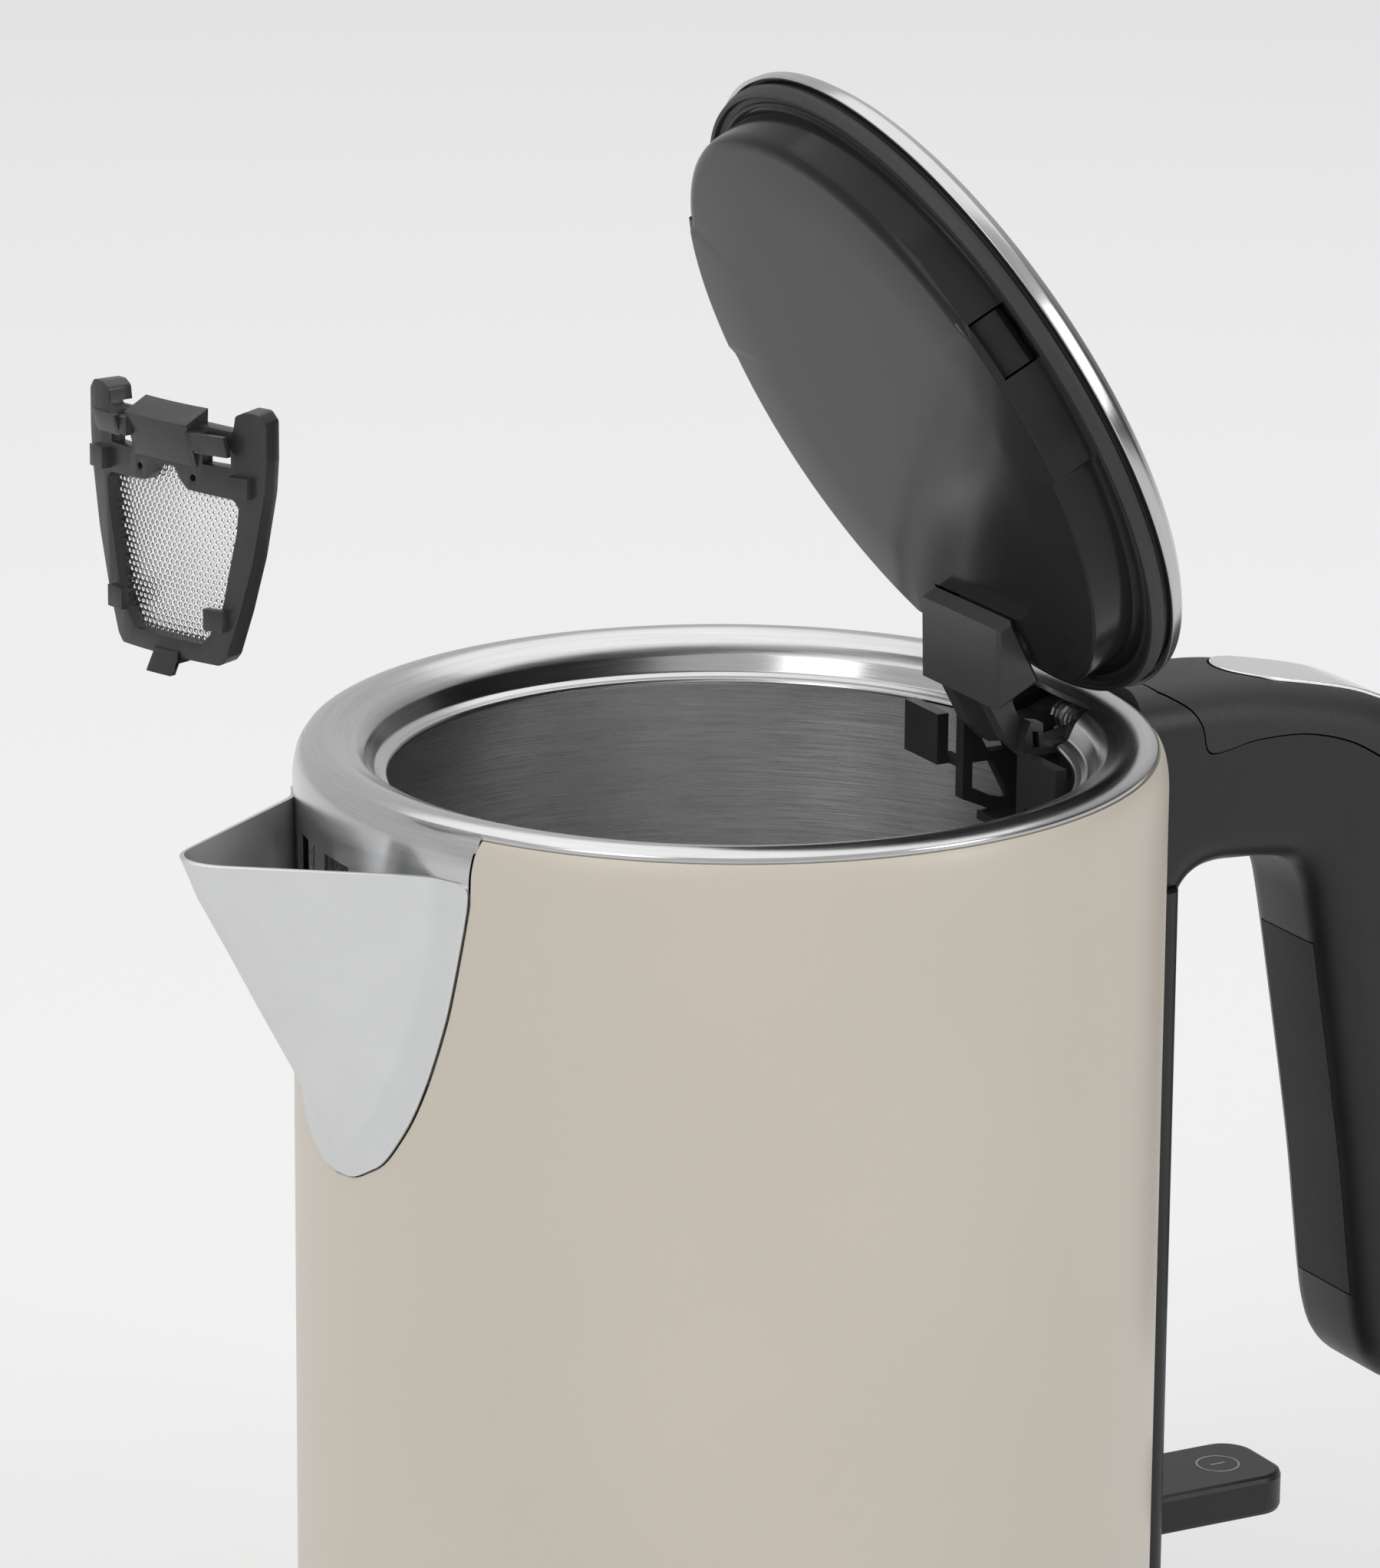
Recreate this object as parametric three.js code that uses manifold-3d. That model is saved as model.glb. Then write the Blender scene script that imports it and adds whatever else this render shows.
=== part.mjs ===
// Cordless electric kettle on its power base, lid open and strainer lifted out.
// Millimetres, +Z up. The origin is on the table under the body's axis.
// The spout points to -X and the handle to +X.
import * as THREE from 'three';
import { mergeVertices } from 'three/addons/utils/BufferGeometryUtils.js';
import Module from 'manifold-3d';

const wasm = await Module();
wasm.setup();

// ---------------------------------------------------------------- driving dimensions
const SEAM_Z = 206;          // height of the painted shell's top edge above the table
const BODY_R = 75;           // outer radius of the painted shell
const SHELL_T = 0.7;         // painted shell thickness
const BODY_BOTTOM = -182;    // underside of the body, below the seam
const SHELL_BOTTOM = -168;   // lower edge of the painted shell
const VESSEL_R = 73.2;       // outer radius of the water vessel
const VESSEL_T = 0.8;
const VESSEL_FLOOR = -150;
const SEG = 48;              // segments round a turned part
const MIN_FEATURE = 0.004;   // slivers thinner than this are merged after a boolean

const HINGE_X = 68.3;        // lid hinge axis, parallel to Y
const HINGE_Z = -4.3;
const LID_OPEN = 62.85;      // degrees from closed
const LID_R = 61.9;
const BOSS_R = 56.5;
const BOSS_FACE = -12;
const LATCH_AZ = 63;         // degrees from the spout direction

const SPOUT_TOP = -7.5;
const SPOUT_TIP = -103;
const SPOUT_T = 0.8;

const STRIP_X = 81.8;        // outer face of the back strip
const STRIP_TOP = -33.5;     // its top end, under the handle's root
const STRIP_HALF = 17;

const HANDLE_HALF = 14.5;    // half the handle's thickness across Y
const HANDLE_ROUND = 7.5;

const LEVER_X = 79;          // switch lever pivot
const LEVER_Z = -153.8;
const LEVER_TIP = 112.5;
const LEVER_HALF = 10;

const FILTER_POS = [-105.8, -3.4, 54];
const FILTER_YAW = 20;
const FILTER_R = 72;

const FOOT_AZ = [45, 135, 225, 315];
const SCREW_AZ = [0, 120, 240];

// ---------------------------------------------------------------- materials
function material(color, roughness, metalness) {
  return new THREE.MeshStandardMaterial({ color, roughness, metalness });
}
const PAINT = material(0xcdc5b4, 0.42, 0.1);
const STEEL = material(0xb9b9b8, 0.32, 1);
const BRIGHT_STEEL = material(0xd6d6d4, 0.2, 1);
const BLACK = material(0x2c2d2f, 0.5, 0);
const BLACK_GRAIN = material(0x333436, 0.62, 0);
const RUBBER = material(0x1d1e1f, 0.8, 0);
const SILICONE = material(0x3b3c3e, 0.6, 0);
const BRASS = material(0xb08d4a, 0.35, 1);
const HEATER = material(0x8f9092, 0.45, 1);

// ---------------------------------------------------------------- geometry helpers
function bare(geometry) {
  const g = geometry.clone();
  for (const name of ['normal', 'uv', 'color']) {
    g.deleteAttribute(name);
  }
  g.clearGroups();
  return mergeVertices(g, 1e-4);
}

function signedVolume(geometry) {
  const p = geometry.attributes.position;
  const ix = geometry.index.array;
  const a = new THREE.Vector3();
  const b = new THREE.Vector3();
  const c = new THREE.Vector3();
  let sum = 0;
  for (let i = 0; i < ix.length; i += 3) {
    a.fromBufferAttribute(p, ix[i]);
    b.fromBufferAttribute(p, ix[i + 1]);
    c.fromBufferAttribute(p, ix[i + 2]);
    sum += a.dot(b.cross(c));
  }
  return sum / 6;
}

function outward(geometry) {
  const g = bare(geometry);
  if (signedVolume(g) < 0) {
    const ix = g.index.array;
    for (let i = 0; i < ix.length; i += 3) {
      const keep = ix[i];
      ix[i] = ix[i + 1];
      ix[i + 1] = keep;
    }
  }
  return g;
}

// Solids of geometries that came from a boolean and have not moved since.
const made = new WeakMap();

function solid(geometry) {
  if (made.has(geometry)) {
    return made.get(geometry);
  }
  const g = outward(geometry);
  return new wasm.Manifold(new wasm.Mesh({
    numProp: 3,
    vertProperties: new Float32Array(g.attributes.position.array),
    triVerts: new Uint32Array(g.index.array),
  }));
}

function geometryOf(rough) {
  const manifold = rough.asOriginal().simplify(MIN_FEATURE);
  const mesh = manifold.getMesh();
  const g = new THREE.BufferGeometry();
  g.setAttribute('position', new THREE.BufferAttribute(new Float32Array(mesh.vertProperties), 3));
  g.setIndex(new THREE.BufferAttribute(new Uint32Array(mesh.triVerts), 1));
  made.set(g, manifold);
  return g;
}

function join(...parts) {
  return geometryOf(parts.map(solid).reduce((a, b) => a.add(b)));
}

function cut(geometry, ...tools) {
  return geometryOf(tools.map(solid).reduce((a, b) => a.subtract(b), solid(geometry)));
}

function common(geometry, tool) {
  return geometryOf(solid(geometry).intersect(solid(tool)));
}

// Ring or disc turned about Z. Points are [radius, z]; a ring's profile closes on itself.
function turned(points, segments = SEG) {
  const onAxis = points[0][0] === 0;
  const loop = onAxis ? points : [...points, points[0]];
  const g = new THREE.LatheGeometry(loop.map(([r, z]) => new THREE.Vector2(r, z)), segments);
  return outward(g.rotateX(Math.PI / 2));
}

function outline(points) {
  return new THREE.Shape(points.map(([u, v]) => new THREE.Vector2(u, v)));
}

function bevelled(depth, bevel, segments) {
  if (!bevel) {
    return { depth, bevelEnabled: false, curveSegments: 8 };
  }
  return {
    depth: depth - 2 * bevel,
    bevelEnabled: true,
    bevelSize: bevel,
    bevelThickness: bevel,
    bevelOffset: -bevel,
    bevelSegments: segments,
    curveSegments: 8,
  };
}

// Plan shape in X,Y raised from z0 to z1.
function raised(shape, z0, z1, bevel = 0, segments = 2) {
  const g = new THREE.ExtrudeGeometry(shape, bevelled(z1 - z0, bevel, segments));
  return outward(g.translate(0, 0, z0 + bevel));
}

// Side shape in X,Z made thick from y0 to y1.
function sideways(shape, y0, y1, bevel = 0, segments = 2) {
  const g = new THREE.ExtrudeGeometry(shape, bevelled(y1 - y0, bevel, segments));
  g.rotateX(Math.PI / 2);
  return outward(g.translate(0, y1 - bevel, 0));
}

// Front shape in Y,Z made thick from x0 to x1.
function frontal(shape, x0, x1, bevel = 0, segments = 2) {
  const g = new THREE.ExtrudeGeometry(shape, bevelled(x1 - x0, bevel, segments));
  g.rotateX(Math.PI / 2);
  g.rotateZ(Math.PI / 2);
  return outward(g.translate(x0 + bevel, 0, 0));
}

function block(x0, x1, y0, y1, z0, z1) {
  const g = new THREE.BoxGeometry(x1 - x0, y1 - y0, z1 - z0);
  return outward(g.translate((x0 + x1) / 2, (y0 + y1) / 2, (z0 + z1) / 2));
}

function rodZ(radius, z0, z1, x = 0, y = 0, segments = 24) {
  const g = new THREE.CylinderGeometry(radius, radius, z1 - z0, segments);
  return outward(g.rotateX(Math.PI / 2).translate(x, y, (z0 + z1) / 2));
}

function rodY(radius, y0, y1, x, z, segments = 20) {
  const g = new THREE.CylinderGeometry(radius, radius, y1 - y0, segments);
  return outward(g.translate(x, (y0 + y1) / 2, z));
}

function mirrored(points) {
  return [...points, ...points.map(([u, v]) => [-u, v]).reverse()];
}

function lerpTable(table, z) {
  for (let i = 1; i < table.length; i += 1) {
    const [za, a] = table[i - 1];
    const [zb, b] = table[i];
    if (z >= zb) {
      return a + ((b - a) * (z - za)) / (zb - za);
    }
  }
  return table[table.length - 1][1];
}

// Solid through a stack of closed sections, each a list of [x, y] with the same count.
function stacked(sections, heights) {
  const n = sections[0].length;
  const m = sections.length - 1;
  const g = new THREE.CylinderGeometry(1, 1, 1, n, m);
  const p = g.attributes.position;
  const middle = sections.map((s) => [
    s.reduce((t, q) => t + q[0], 0) / n,
    s.reduce((t, q) => t + q[1], 0) / n,
  ]);
  for (let i = 0; i < p.count; i += 1) {
    const level = Math.round((p.getY(i) + 0.5) * m);
    const radius = Math.hypot(p.getX(i), p.getZ(i));
    const turn = Math.atan2(p.getX(i), p.getZ(i)) / (2 * Math.PI);
    const step = ((Math.round(turn * n) % n) + n) % n;
    const [x, y] = radius < 0.5 ? middle[level] : sections[level][step];
    p.setXYZ(i, x, y, heights[level]);
  }
  return outward(g);
}

function polar(radius, degrees) {
  const a = THREE.MathUtils.degToRad(degrees);
  return [radius * Math.cos(a), radius * Math.sin(a)];
}

// Distance across from the spout's midplane at a turn round the body.
function onBody(degrees, radius = BODY_R) {
  return radius * Math.sin(THREE.MathUtils.degToRad(degrees));
}

// ---------------------------------------------------------------- scene helpers
const kettle = new THREE.Group();
const scene = new THREE.Group();
kettle.position.z = SEAM_Z;
scene.add(kettle);

function add(group, name, geometry, look) {
  const mesh = new THREE.Mesh(geometry, look);
  mesh.name = name;
  group.add(mesh);
  return mesh;
}

// ---------------------------------------------------------------- spout outlines
// Half outlines as [degrees from the spout direction, z].
const FLANGE = [
  [25.4, -7.4], [26.5, -8.4], [26.6, -10.5], [26.2, -14], [25.4, -19.1], [24.1, -26.7], [22.8, -33],
  [20.2, -42.4], [17.4, -50], [14.5, -55.6], [11.4, -60.2], [8, -63], [4.3, -65.2], [0.01, -65.8],
];
// Fold between spout and flange, then the keel: [z, degrees] and [z, x].
const FOLD = [
  [-7.5, 21], [-15.2, 20.3], [-26.3, 18.6], [-36.3, 16.1], [-44, 13], [-53.8, 8.1], [-62, 1.2],
];
const KEEL = [
  [-7.5, SPOUT_TIP], [-14.8, -100], [-25, -94.5], [-35.6, -89], [-46.1, -83.4], [-54, -79.4],
  [-62, -75.6],
];

function flangeOutline(grow) {
  const half = FLANGE.map(([deg, z], i) => {
    const top = i === 0;
    const last = i === FLANGE.length - 1;
    const y = onBody(deg) + (last ? 0 : grow * (top ? 0.4 : 1));
    return [y, z - (last ? grow : 0) + (top ? grow : 0)];
  });
  return mirrored(half);
}

function spoutSection(z, wall, inside) {
  const grow = z > SPOUT_TOP ? SPOUT_TOP : z;
  const deg = lerpTable(FOLD, grow);
  const keel = lerpTable(KEEL, grow) + wall;
  const nose = Math.max(1, (7.2 * deg) / 21 - wall);
  const rootY = Math.max(1.2, onBody(deg) - wall * 1.15);
  const rootX = -Math.sqrt(BODY_R * BODY_R - rootY * rootY);
  const cx = keel + nose;
  const reach = Math.hypot(cx - rootX, rootY);
  const lean = Math.atan2(-rootY, cx - rootX) - Math.asin(Math.min(0.99, nose / reach));
  const run = Math.sqrt(Math.max(0.01, reach * reach - nose * nose));
  const tx = rootX + run * Math.cos(lean);
  const ty = rootY + run * Math.sin(lean);
  const half = [[inside, rootY], [rootX, rootY], [(rootX + tx) / 2, (rootY + ty) / 2]];
  const start = Math.atan2(ty, tx - cx);
  for (let i = 0; i <= 4; i += 1) {
    const a = start + ((Math.PI - start) * i) / 4;
    half.push([cx + nose * Math.cos(a), nose * Math.sin(a)]);
  }
  const other = half.slice(0, -1).map(([x, y]) => [x, -y]).reverse();
  return [...half, ...other];
}

function spoutCone(wall, top, bottom, inside) {
  const heights = [bottom];
  for (const z of [-58, -53.8, -44, -36.3, -26.3, -15.2]) {
    if (z > bottom + 1) {
      heights.push(z);
    }
  }
  heights.push(SPOUT_TOP, top);
  const used = top > SPOUT_TOP ? heights : heights.slice(0, -1);
  return stacked(used.map((z) => spoutSection(z, wall, inside)), used);
}

function windowTools(x0, x1) {
  const middle = [[4.6, -11.2], [4.6, -42], [3.2, -44], [0.01, -44.4]];
  const side = [
    [9.4, -11.2], [20.6, -11.2], [20.2, -20], [18.4, -27], [15.2, -33], [11.2, -38], [9.4, -38.6],
  ];
  return [
    frontal(outline(mirrored(middle)), x0, x1),
    frontal(outline(side), x0, x1),
    frontal(outline(side.map(([y, z]) => [-y, z])), x0, x1),
  ];
}

// ---------------------------------------------------------------- body
const SHOULDER = [0, 20, 40, 60, 80].map((deg) => {
  const t = THREE.MathUtils.degToRad(deg);
  return [BODY_R - 1.74 + 1.74 * Math.cos(t), -7 + 7 * Math.sin(t)];
});

function outerShell() {
  const inner = SHOULDER.map(([r, z]) => [r - SHELL_T, z - 0.25]).reverse();
  const ring = turned([[BODY_R, SHELL_BOTTOM], ...SHOULDER, ...inner, [BODY_R - SHELL_T, SHELL_BOTTOM]]);
  const gap = mirrored([
    [onBody(28), 3], [onBody(28), -0.1], [onBody(27.3), -3], [onBody(26.9), -6.8], [onBody(26.9), -10.6],
    ...FLANGE.slice(3, -1).map(([deg, z]) => [onBody(deg) + 0.35, z - 0.1]),
    [0.01, -66.2],
  ]);
  return cut(ring, frontal(outline(gap), -80, -50));
}

function innerVessel() {
  const r = VESSEL_R;
  const t = VESSEL_T;
  const f = VESSEL_FLOOR;
  const pot = turned([
    [0, f], [r - 6, f], [r - 2, f + 1.6], [r, f + 6], [r, -8], [r - t, -8],
    [r - t, f + 6.2], [r - t - 1.8, f + 2.4], [r - t - 5.4, f + t], [0, f + t],
  ]);
  return cut(pot, ...windowTools(-80, -64));
}

function rimRing() {
  const ring = turned([
    [73.3, 0.15], [72.5, 1.2], [71.3, 1.8], [70, 2], [68.3, 1.75], [66.3, 1], [64.2, 0.3],
    [62.2, -1.9], [61.2, -4.1], [60.4, -4.7], [58.9, -5.1], [58.6, -5.9], [60, -5.9],
    [61.8, -5], [63, -2.3], [63.9, -0.8], [66.8, 0.15],
    [68.6, 0.85], [70, 1.05], [71.2, 0.5], [71.3, -10.8], [72.1, -10.8], [72.1, -0.2], [73.2, -0.05],
  ]);
  const web = turned([
    [73.2, 0.1], ...[...SHOULDER].reverse(), [74.2, -7], [74.2, -65], [73.5, -65], [73.5, -7.7],
    [71.7, -7.7], [71.7, 0.5], [72.6, 0.5],
  ]);
  const sector = mirrored([
    [onBody(27.7), 3], [onBody(27.7), -0.1], [onBody(27), -3], [onBody(26.6), -6.8], [onBody(25.6), -9],
    ...FLANGE.slice(3, -2).map(([deg, z]) => [onBody(deg) - 0.6, z + 0.6]),
    [0.01, -64.6],
  ]);
  const apron = common(web, frontal(outline(sector), -80, -50));
  const notch = block(56, 65.4, -12.3, 12.3, -8, 0.6);
  return cut(join(ring, apron), notch, ...windowTools(-80, -64));
}

function spout() {
  const band = turned([[75.3, 2], [75.3, -70], [74.5, -70], [74.5, 2]], 72);
  const flange = common(band, frontal(outline(flangeOutline(0)), -80, -50));
  const outside = cut(spoutCone(0, SPOUT_TOP, -62, -74), rodZ(74.5, -70, 5, 0, 0, 72));
  return cut(join(flange, outside), spoutCone(SPOUT_T, 2, -59.5, -60));
}

function footRing() {
  const b = BODY_BOTTOM;
  return turned([
    [74.8, SHELL_BOTTOM - 0.3], [74.8, b + 3], [73.6, b + 0.6], [72.4, b], [69, b], [69, b + 2.4],
    [71.8, b + 2.4], [71.8, b + 20], [74, b + 20], [74, SHELL_BOTTOM - 0.3],
  ], 48);
}

function bottomCover() {
  return turned([
    [0, -160], [29.6, -160], [29.6, -178.8], [68.6, -178.8], [68.6, -180.8], [27.6, -180.8],
    [27.6, -162], [0, -162],
  ], 32);
}

function heatingElement() {
  const circle = [];
  for (let i = 0; i < 8; i += 1) {
    const a = (i / 8) * 2 * Math.PI;
    circle.push([42 + 3.6 * Math.cos(a), -156.4 + 3.6 * Math.sin(a)]);
  }
  return turned(circle, 32);
}

function connectorSocket() {
  return turned([
    [4, -163], [26.9, -163], [26.9, -181], [17, -181], [17, -165.6], [4, -165.6],
  ], 32);
}

function backStrip() {
  const s = new THREE.Shape();
  const inner = 75.35;
  const a = Math.asin((STRIP_HALF - 0.2) / inner);
  s.absarc(0, 0, inner, -a, a, false);
  s.lineTo(STRIP_X - 3.6, STRIP_HALF);
  s.absarc(STRIP_X - 3.6, STRIP_HALF - 3.6, 3.6, Math.PI / 2, 0, true);
  s.absarc(STRIP_X - 3.6, 3.6 - STRIP_HALF, 3.6, 0, -Math.PI / 2, true);
  s.lineTo(inner * Math.cos(a), -STRIP_HALF);
  const bar = raised(s, SHELL_BOTTOM, STRIP_TOP);
  const mouth = block(76.4, 84, -LEVER_HALF - 0.4, LEVER_HALF + 0.4, -158.6, -149);
  return cut(bar, mouth, rodY(1.35, -13, 13, LEVER_X, LEVER_Z));
}

// ---------------------------------------------------------------- handle
const HANDLE_TOP = [
  [84, 1.6], [91, 1.5], [97, 1.2], [102.5, 0.5], [110.6, -1], [120.3, -3.3], [126.5, -5.6], [134, -9.2],
];
const HANDLE_SIDE = [
  [62, 1.4], [76, 1.6], ...HANDLE_TOP, [141, -14.2], [146.2, -21.5], [149.6, -32], [151.2, -46],
  [152, -70], [152.4, -100], [152, -118], [150.4, -126], [146.6, -132.4], [141.6, -136],
  [136.4, -136.8], [132.6, -135.6], [128.6, -132.6], [125.8, -128], [124.6, -121.5], [123.2, -109.8],
  [120.9, -91.8], [116.1, -62.7], [112.8, -44], [111, -37.5], [108, -33.4], [103, -32.1],
  [96, -31.6], [92, -31.5], [88.6, -32.2], [86, -33.8], [84.2, -36.6], [82.6, -40.6], [80, -46], [62, -50],
];
const SHELL_SEAM = [
  [78, 4.5], [79.2, 1.6], [81, 0.5], [84.2, -1.7], [86.1, -4.8], [86.9, -8.6], [88.4, -9.9], [92, -9.5],
  [97.4, -8.5], [107, -8.6], [116.1, -10.9], [123, -14.6], [129, -18.9], [134.2, -25.4], [137.8, -33.6],
  [140, -43], [141.6, -58], [143, -90], [143.4, -120], [142.6, -138],
];

function handleSolid() {
  const whole = sideways(outline(HANDLE_SIDE), -HANDLE_HALF, HANDLE_HALF, HANDLE_ROUND, 4);
  const strip = block(50, STRIP_X + 0.3, -20, 20, -70, STRIP_TOP + 0.3);
  return cut(whole, strip, rodZ(BODY_R + 0.4, -70, 10, 0, 0, 72));
}

function overSeam(dx, dz) {
  const line = SHELL_SEAM.map(([x, z]) => [x + dx, z + dz]);
  return sideways(outline([...line, [160, -140], [160, 12], [78 + dx, 12]]), -20, 20);
}

function stadium(x0, x1, half) {
  const s = new THREE.Shape();
  s.absarc(x0 + half, 0, half, Math.PI / 2, Math.PI * 1.5, false);
  s.absarc(x1 - half, 0, half, -Math.PI / 2, Math.PI / 2, false);
  return s;
}

function underTop(dz, depth) {
  const top = [...HANDLE_TOP, [136, -10.4]].map(([x, z]) => [x, z + dz]);
  const under = top.map(([x, z]) => [x, z - depth]).reverse();
  return sideways(outline([...top, ...under]), -12, 12);
}

function buttonPocket() {
  return raised(stadium(97.1, 134.4, 8.9), -30, 12);
}

function handleUpper() {
  const shell = common(handleSolid(), overSeam(0.15, 0.15));
  const pocket = common(buttonPocket(), underTop(6, 12.6));
  return cut(shell, pocket);
}

function insertPlan(grow) {
  const line = [[113.9, -50], [116.1, -62.7], [120.9, -91.8], [123.2, -109.8], [124.2, -118]];
  const outer = line.map(([x, z]) => [x - 4, z]);
  const inner = line.map(([x, z]) => [x + 1.6 + grow, z]).reverse();
  const g = grow;
  outer[0][1] += g;
  outer[4][1] -= g;
  inner[0][1] -= g;
  inner[4][1] += g;
  return outline([...outer, ...inner]);
}

function handleLower() {
  const shell = cut(handleSolid(), overSeam(-0.15, -0.15));
  return cut(shell, sideways(insertPlan(0.3), -8.8, 8.8));
}

function handleInsert() {
  return common(handleSolid(), sideways(insertPlan(0), -8.5, 8.5));
}

function releaseButton() {
  return common(raised(stadium(97.5, 134, 8.5), -30, 12), underTop(0.35, 3.2));
}

// ---------------------------------------------------------------- switch lever
function switchLever() {
  const plan = new THREE.Shape();
  plan.moveTo(77.2, -LEVER_HALF);
  plan.lineTo(LEVER_TIP - 6, -LEVER_HALF);
  plan.absarc(LEVER_TIP - 6, -LEVER_HALF + 6, 6, -Math.PI / 2, 0, false);
  plan.lineTo(LEVER_TIP, LEVER_HALF - 6);
  plan.absarc(LEVER_TIP - 6, LEVER_HALF - 6, 6, 0, Math.PI / 2, false);
  plan.lineTo(77.2, LEVER_HALF);
  const bar = raised(plan, -157.5, -150, 1, 2);
  return cut(bar, rodY(1.35, -13, 13, LEVER_X, LEVER_Z));
}

// ---------------------------------------------------------------- hinge
function hingeBracket() {
  const side = [
    [51.5, -19.5], [51.5, -3], [52.6, -0.2], [55, -0.7], [55.3, -4.7], [60.8, -4.7], [61.5, -2.6],
    [64, -2.4], [66.4, -1.2], [69.9, -1],
    [69.9, -12.9], [70.9, -13.2], [70.9, -24], [61, -24], [55, -21],
  ];
  const gaps = [
    [[52.9, -2], [54.1, -2.2], [54.5, -5], [53.2, -5]],
    [[54, -6.4], [58.8, -6.4], [60.8, -11.4], [56.6, -11.4]],
    [[53.4, -13], [57.4, -13], [61.4, -20.6], [57, -19.4], [53.4, -17.6]],
  ];
  const cheek = (y0, y1) => cut(
    sideways(outline(side), y0, y1),
    ...gaps.map((gap) => sideways(outline(gap), y0 - 1, y1 + 1)),
  );
  const floor = block(55.5, 70.6, -11, 11, -24, -22.4);
  const wall = block(69.2, 70.6, -11, 11, -23, -13.4);
  const tab = (y0, y1) => block(49.2, 51.4, y0, y1, -14.2, -5);
  const link = (y0, y1) => block(51.7, 53.4, y0, y1, -14.2, -12.8);
  const foot = (y0, y1) => block(49.2, 53.4, y0, y1, -14.2, -12.8);
  return cut(
    join(cheek(9.2, 11.8), cheek(-11.8, -9.2), floor, wall, tab(14.4, 26), tab(-26, -14.4),
      link(9.5, 15), link(-15, -9.5), foot(14.4, 17), foot(-17, -14.4)),
    rodY(1.35, -13, 13, HINGE_X, HINGE_Z),
  );
}

function hingeSpring() {
  class Helix extends THREE.Curve {
    getPoint(t) {
      const a = t * 2 * Math.PI * 4.5;
      return new THREE.Vector3(HINGE_X + 2.25 * Math.cos(a), -3.4 + 6.8 * t, HINGE_Z + 2.25 * Math.sin(a));
    }
  }
  const wire = new THREE.Shape();
  wire.absarc(0, 0, 0.45, 0, 2 * Math.PI, false);
  return outward(new THREE.ExtrudeGeometry(wire, {
    steps: 54, curveSegments: 3, bevelEnabled: false, extrudePath: new Helix(),
  }));
}

// ---------------------------------------------------------------- lid (closed position)
function lidCap() {
  return turned([
    [0, 5.6], [40, 5.2], [56, 4.4], [59.4, 3.7], [61, 2.5], [61.8, 0.9], [LID_R, -0.5],
    [61, -0.5], [60.8, 0.9], [59.8, 2.3], [55.8, 3.4], [40, 4.2], [0, 4.6],
  ]);
}

function latchTool(az, half, r0, r1, z0, z1) {
  const g = block(r0, r1, -half, half, z0, z1);
  return g.rotateZ(Math.PI + THREE.MathUtils.degToRad(az));
}

function lidCover() {
  const r = BOSS_R;
  const f = BOSS_FACE;
  const cup = turned([
    [0, f], [53.6, f], [55.6, f + 0.8], [r, f + 2.6], [r, -0.9], [60.6, -0.9], [60.6, 0.3], [54.6, 0.3],
    [54.6, f + 3], [53.2, f + 1.9], [0, f + 1.9],
  ]);
  const core = common(block(30, 60, -17, 17, f, -0.9), rodZ(r, f, 0, 0, 0, SEG));
  const hollow = block(32.4, 55, -14.8, 14.8, f - 2, -2.6);
  const hollowBack = block(47.8, 60, -14.8, 14.8, f - 2, -0.9);
  const recess = cut(block(47.6, 60, -27.2, 27.2, f - 2, -4), block(40, 60, -13, 13, -30, 10));
  const slots = [1, -1].map((k) => block(47.4, 56.3, k * 10.5 - 2, k * 10.5 + 2, -6, 1));
  const pockets = [1, -1].map((k) => latchTool(k * LATCH_AZ, 5.6, 45, 60, f + 1.4, -3.4));
  const cups = [1, -1].map((k) => common(
    latchTool(k * LATCH_AZ, 7, 43, 60, f, -1.8), rodZ(r, f, 0, 0, 0, SEG)));
  return cut(join(cup, core, ...cups), hollow, hollowBack, recess, ...slots, ...pockets);
}

function lidGasket() {
  return turned([
    [56.9, -1.3], [60.8, -1.3], [60.9, -2.4], [60.3, -4], [59.3, -3.9], [59.2, -2.8], [56.9, -2.8],
  ], 48);
}

function lidLatch(az) {
  const side = outline([
    [47.6, -10.2], [54.6, -10.2], [57, -6.6], [57, -5.6], [55, -3.8], [47.6, -3.8],
  ]);
  const g = sideways(side, -5.1, 5.1);
  return g.rotateZ(Math.PI + THREE.MathUtils.degToRad(az));
}

function hingeArm() {
  const hoodSide = outline([[38.3, -15.4], [38.3, -12.3], [51.2, -12.3], [51.2, -21.6]]);
  const hood = sideways(hoodSide, -13.4, 13.4, 0.6, 1);
  const arm = [
    [46, -12.5], [50.6, -12.5], [52.4, -16.6], [60.5, -17], [64.2, -14.4], [66, -8], [66.2, -5],
    [66.7, -2.8], [68.3, -2], [69.9, -2.8], [70.5, -4.3], [70.2, -6.6], [68, -14], [65, -18.8], [60, -20.6],
    [50.6, -20.8], [46, -18.4],
  ];
  const armAt = (y0, y1) => sideways(outline(arm), y0, y1);
  const root = block(40, 47, -8.4, 8.4, -12.6, -2.9);
  const bore = rodY(1.35, -13, 13, HINGE_X, HINGE_Z);
  return cut(join(hood, root, armAt(4.6, 8.4), armAt(-8.4, -4.6)), bore);
}

// ---------------------------------------------------------------- strainer (front faces -X)
function filterBand(r0, r1, points, ...gaps) {
  const band = turned([[r0, -40], [r1, -40], [r1, 40], [r0, 40]], 72).translate(FILTER_R, 0, 0);
  const plate = common(band, frontal(outline(points), -18, 22));
  return cut(plate, ...gaps.map((gap) => frontal(outline(gap), -19, 23)));
}

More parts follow.
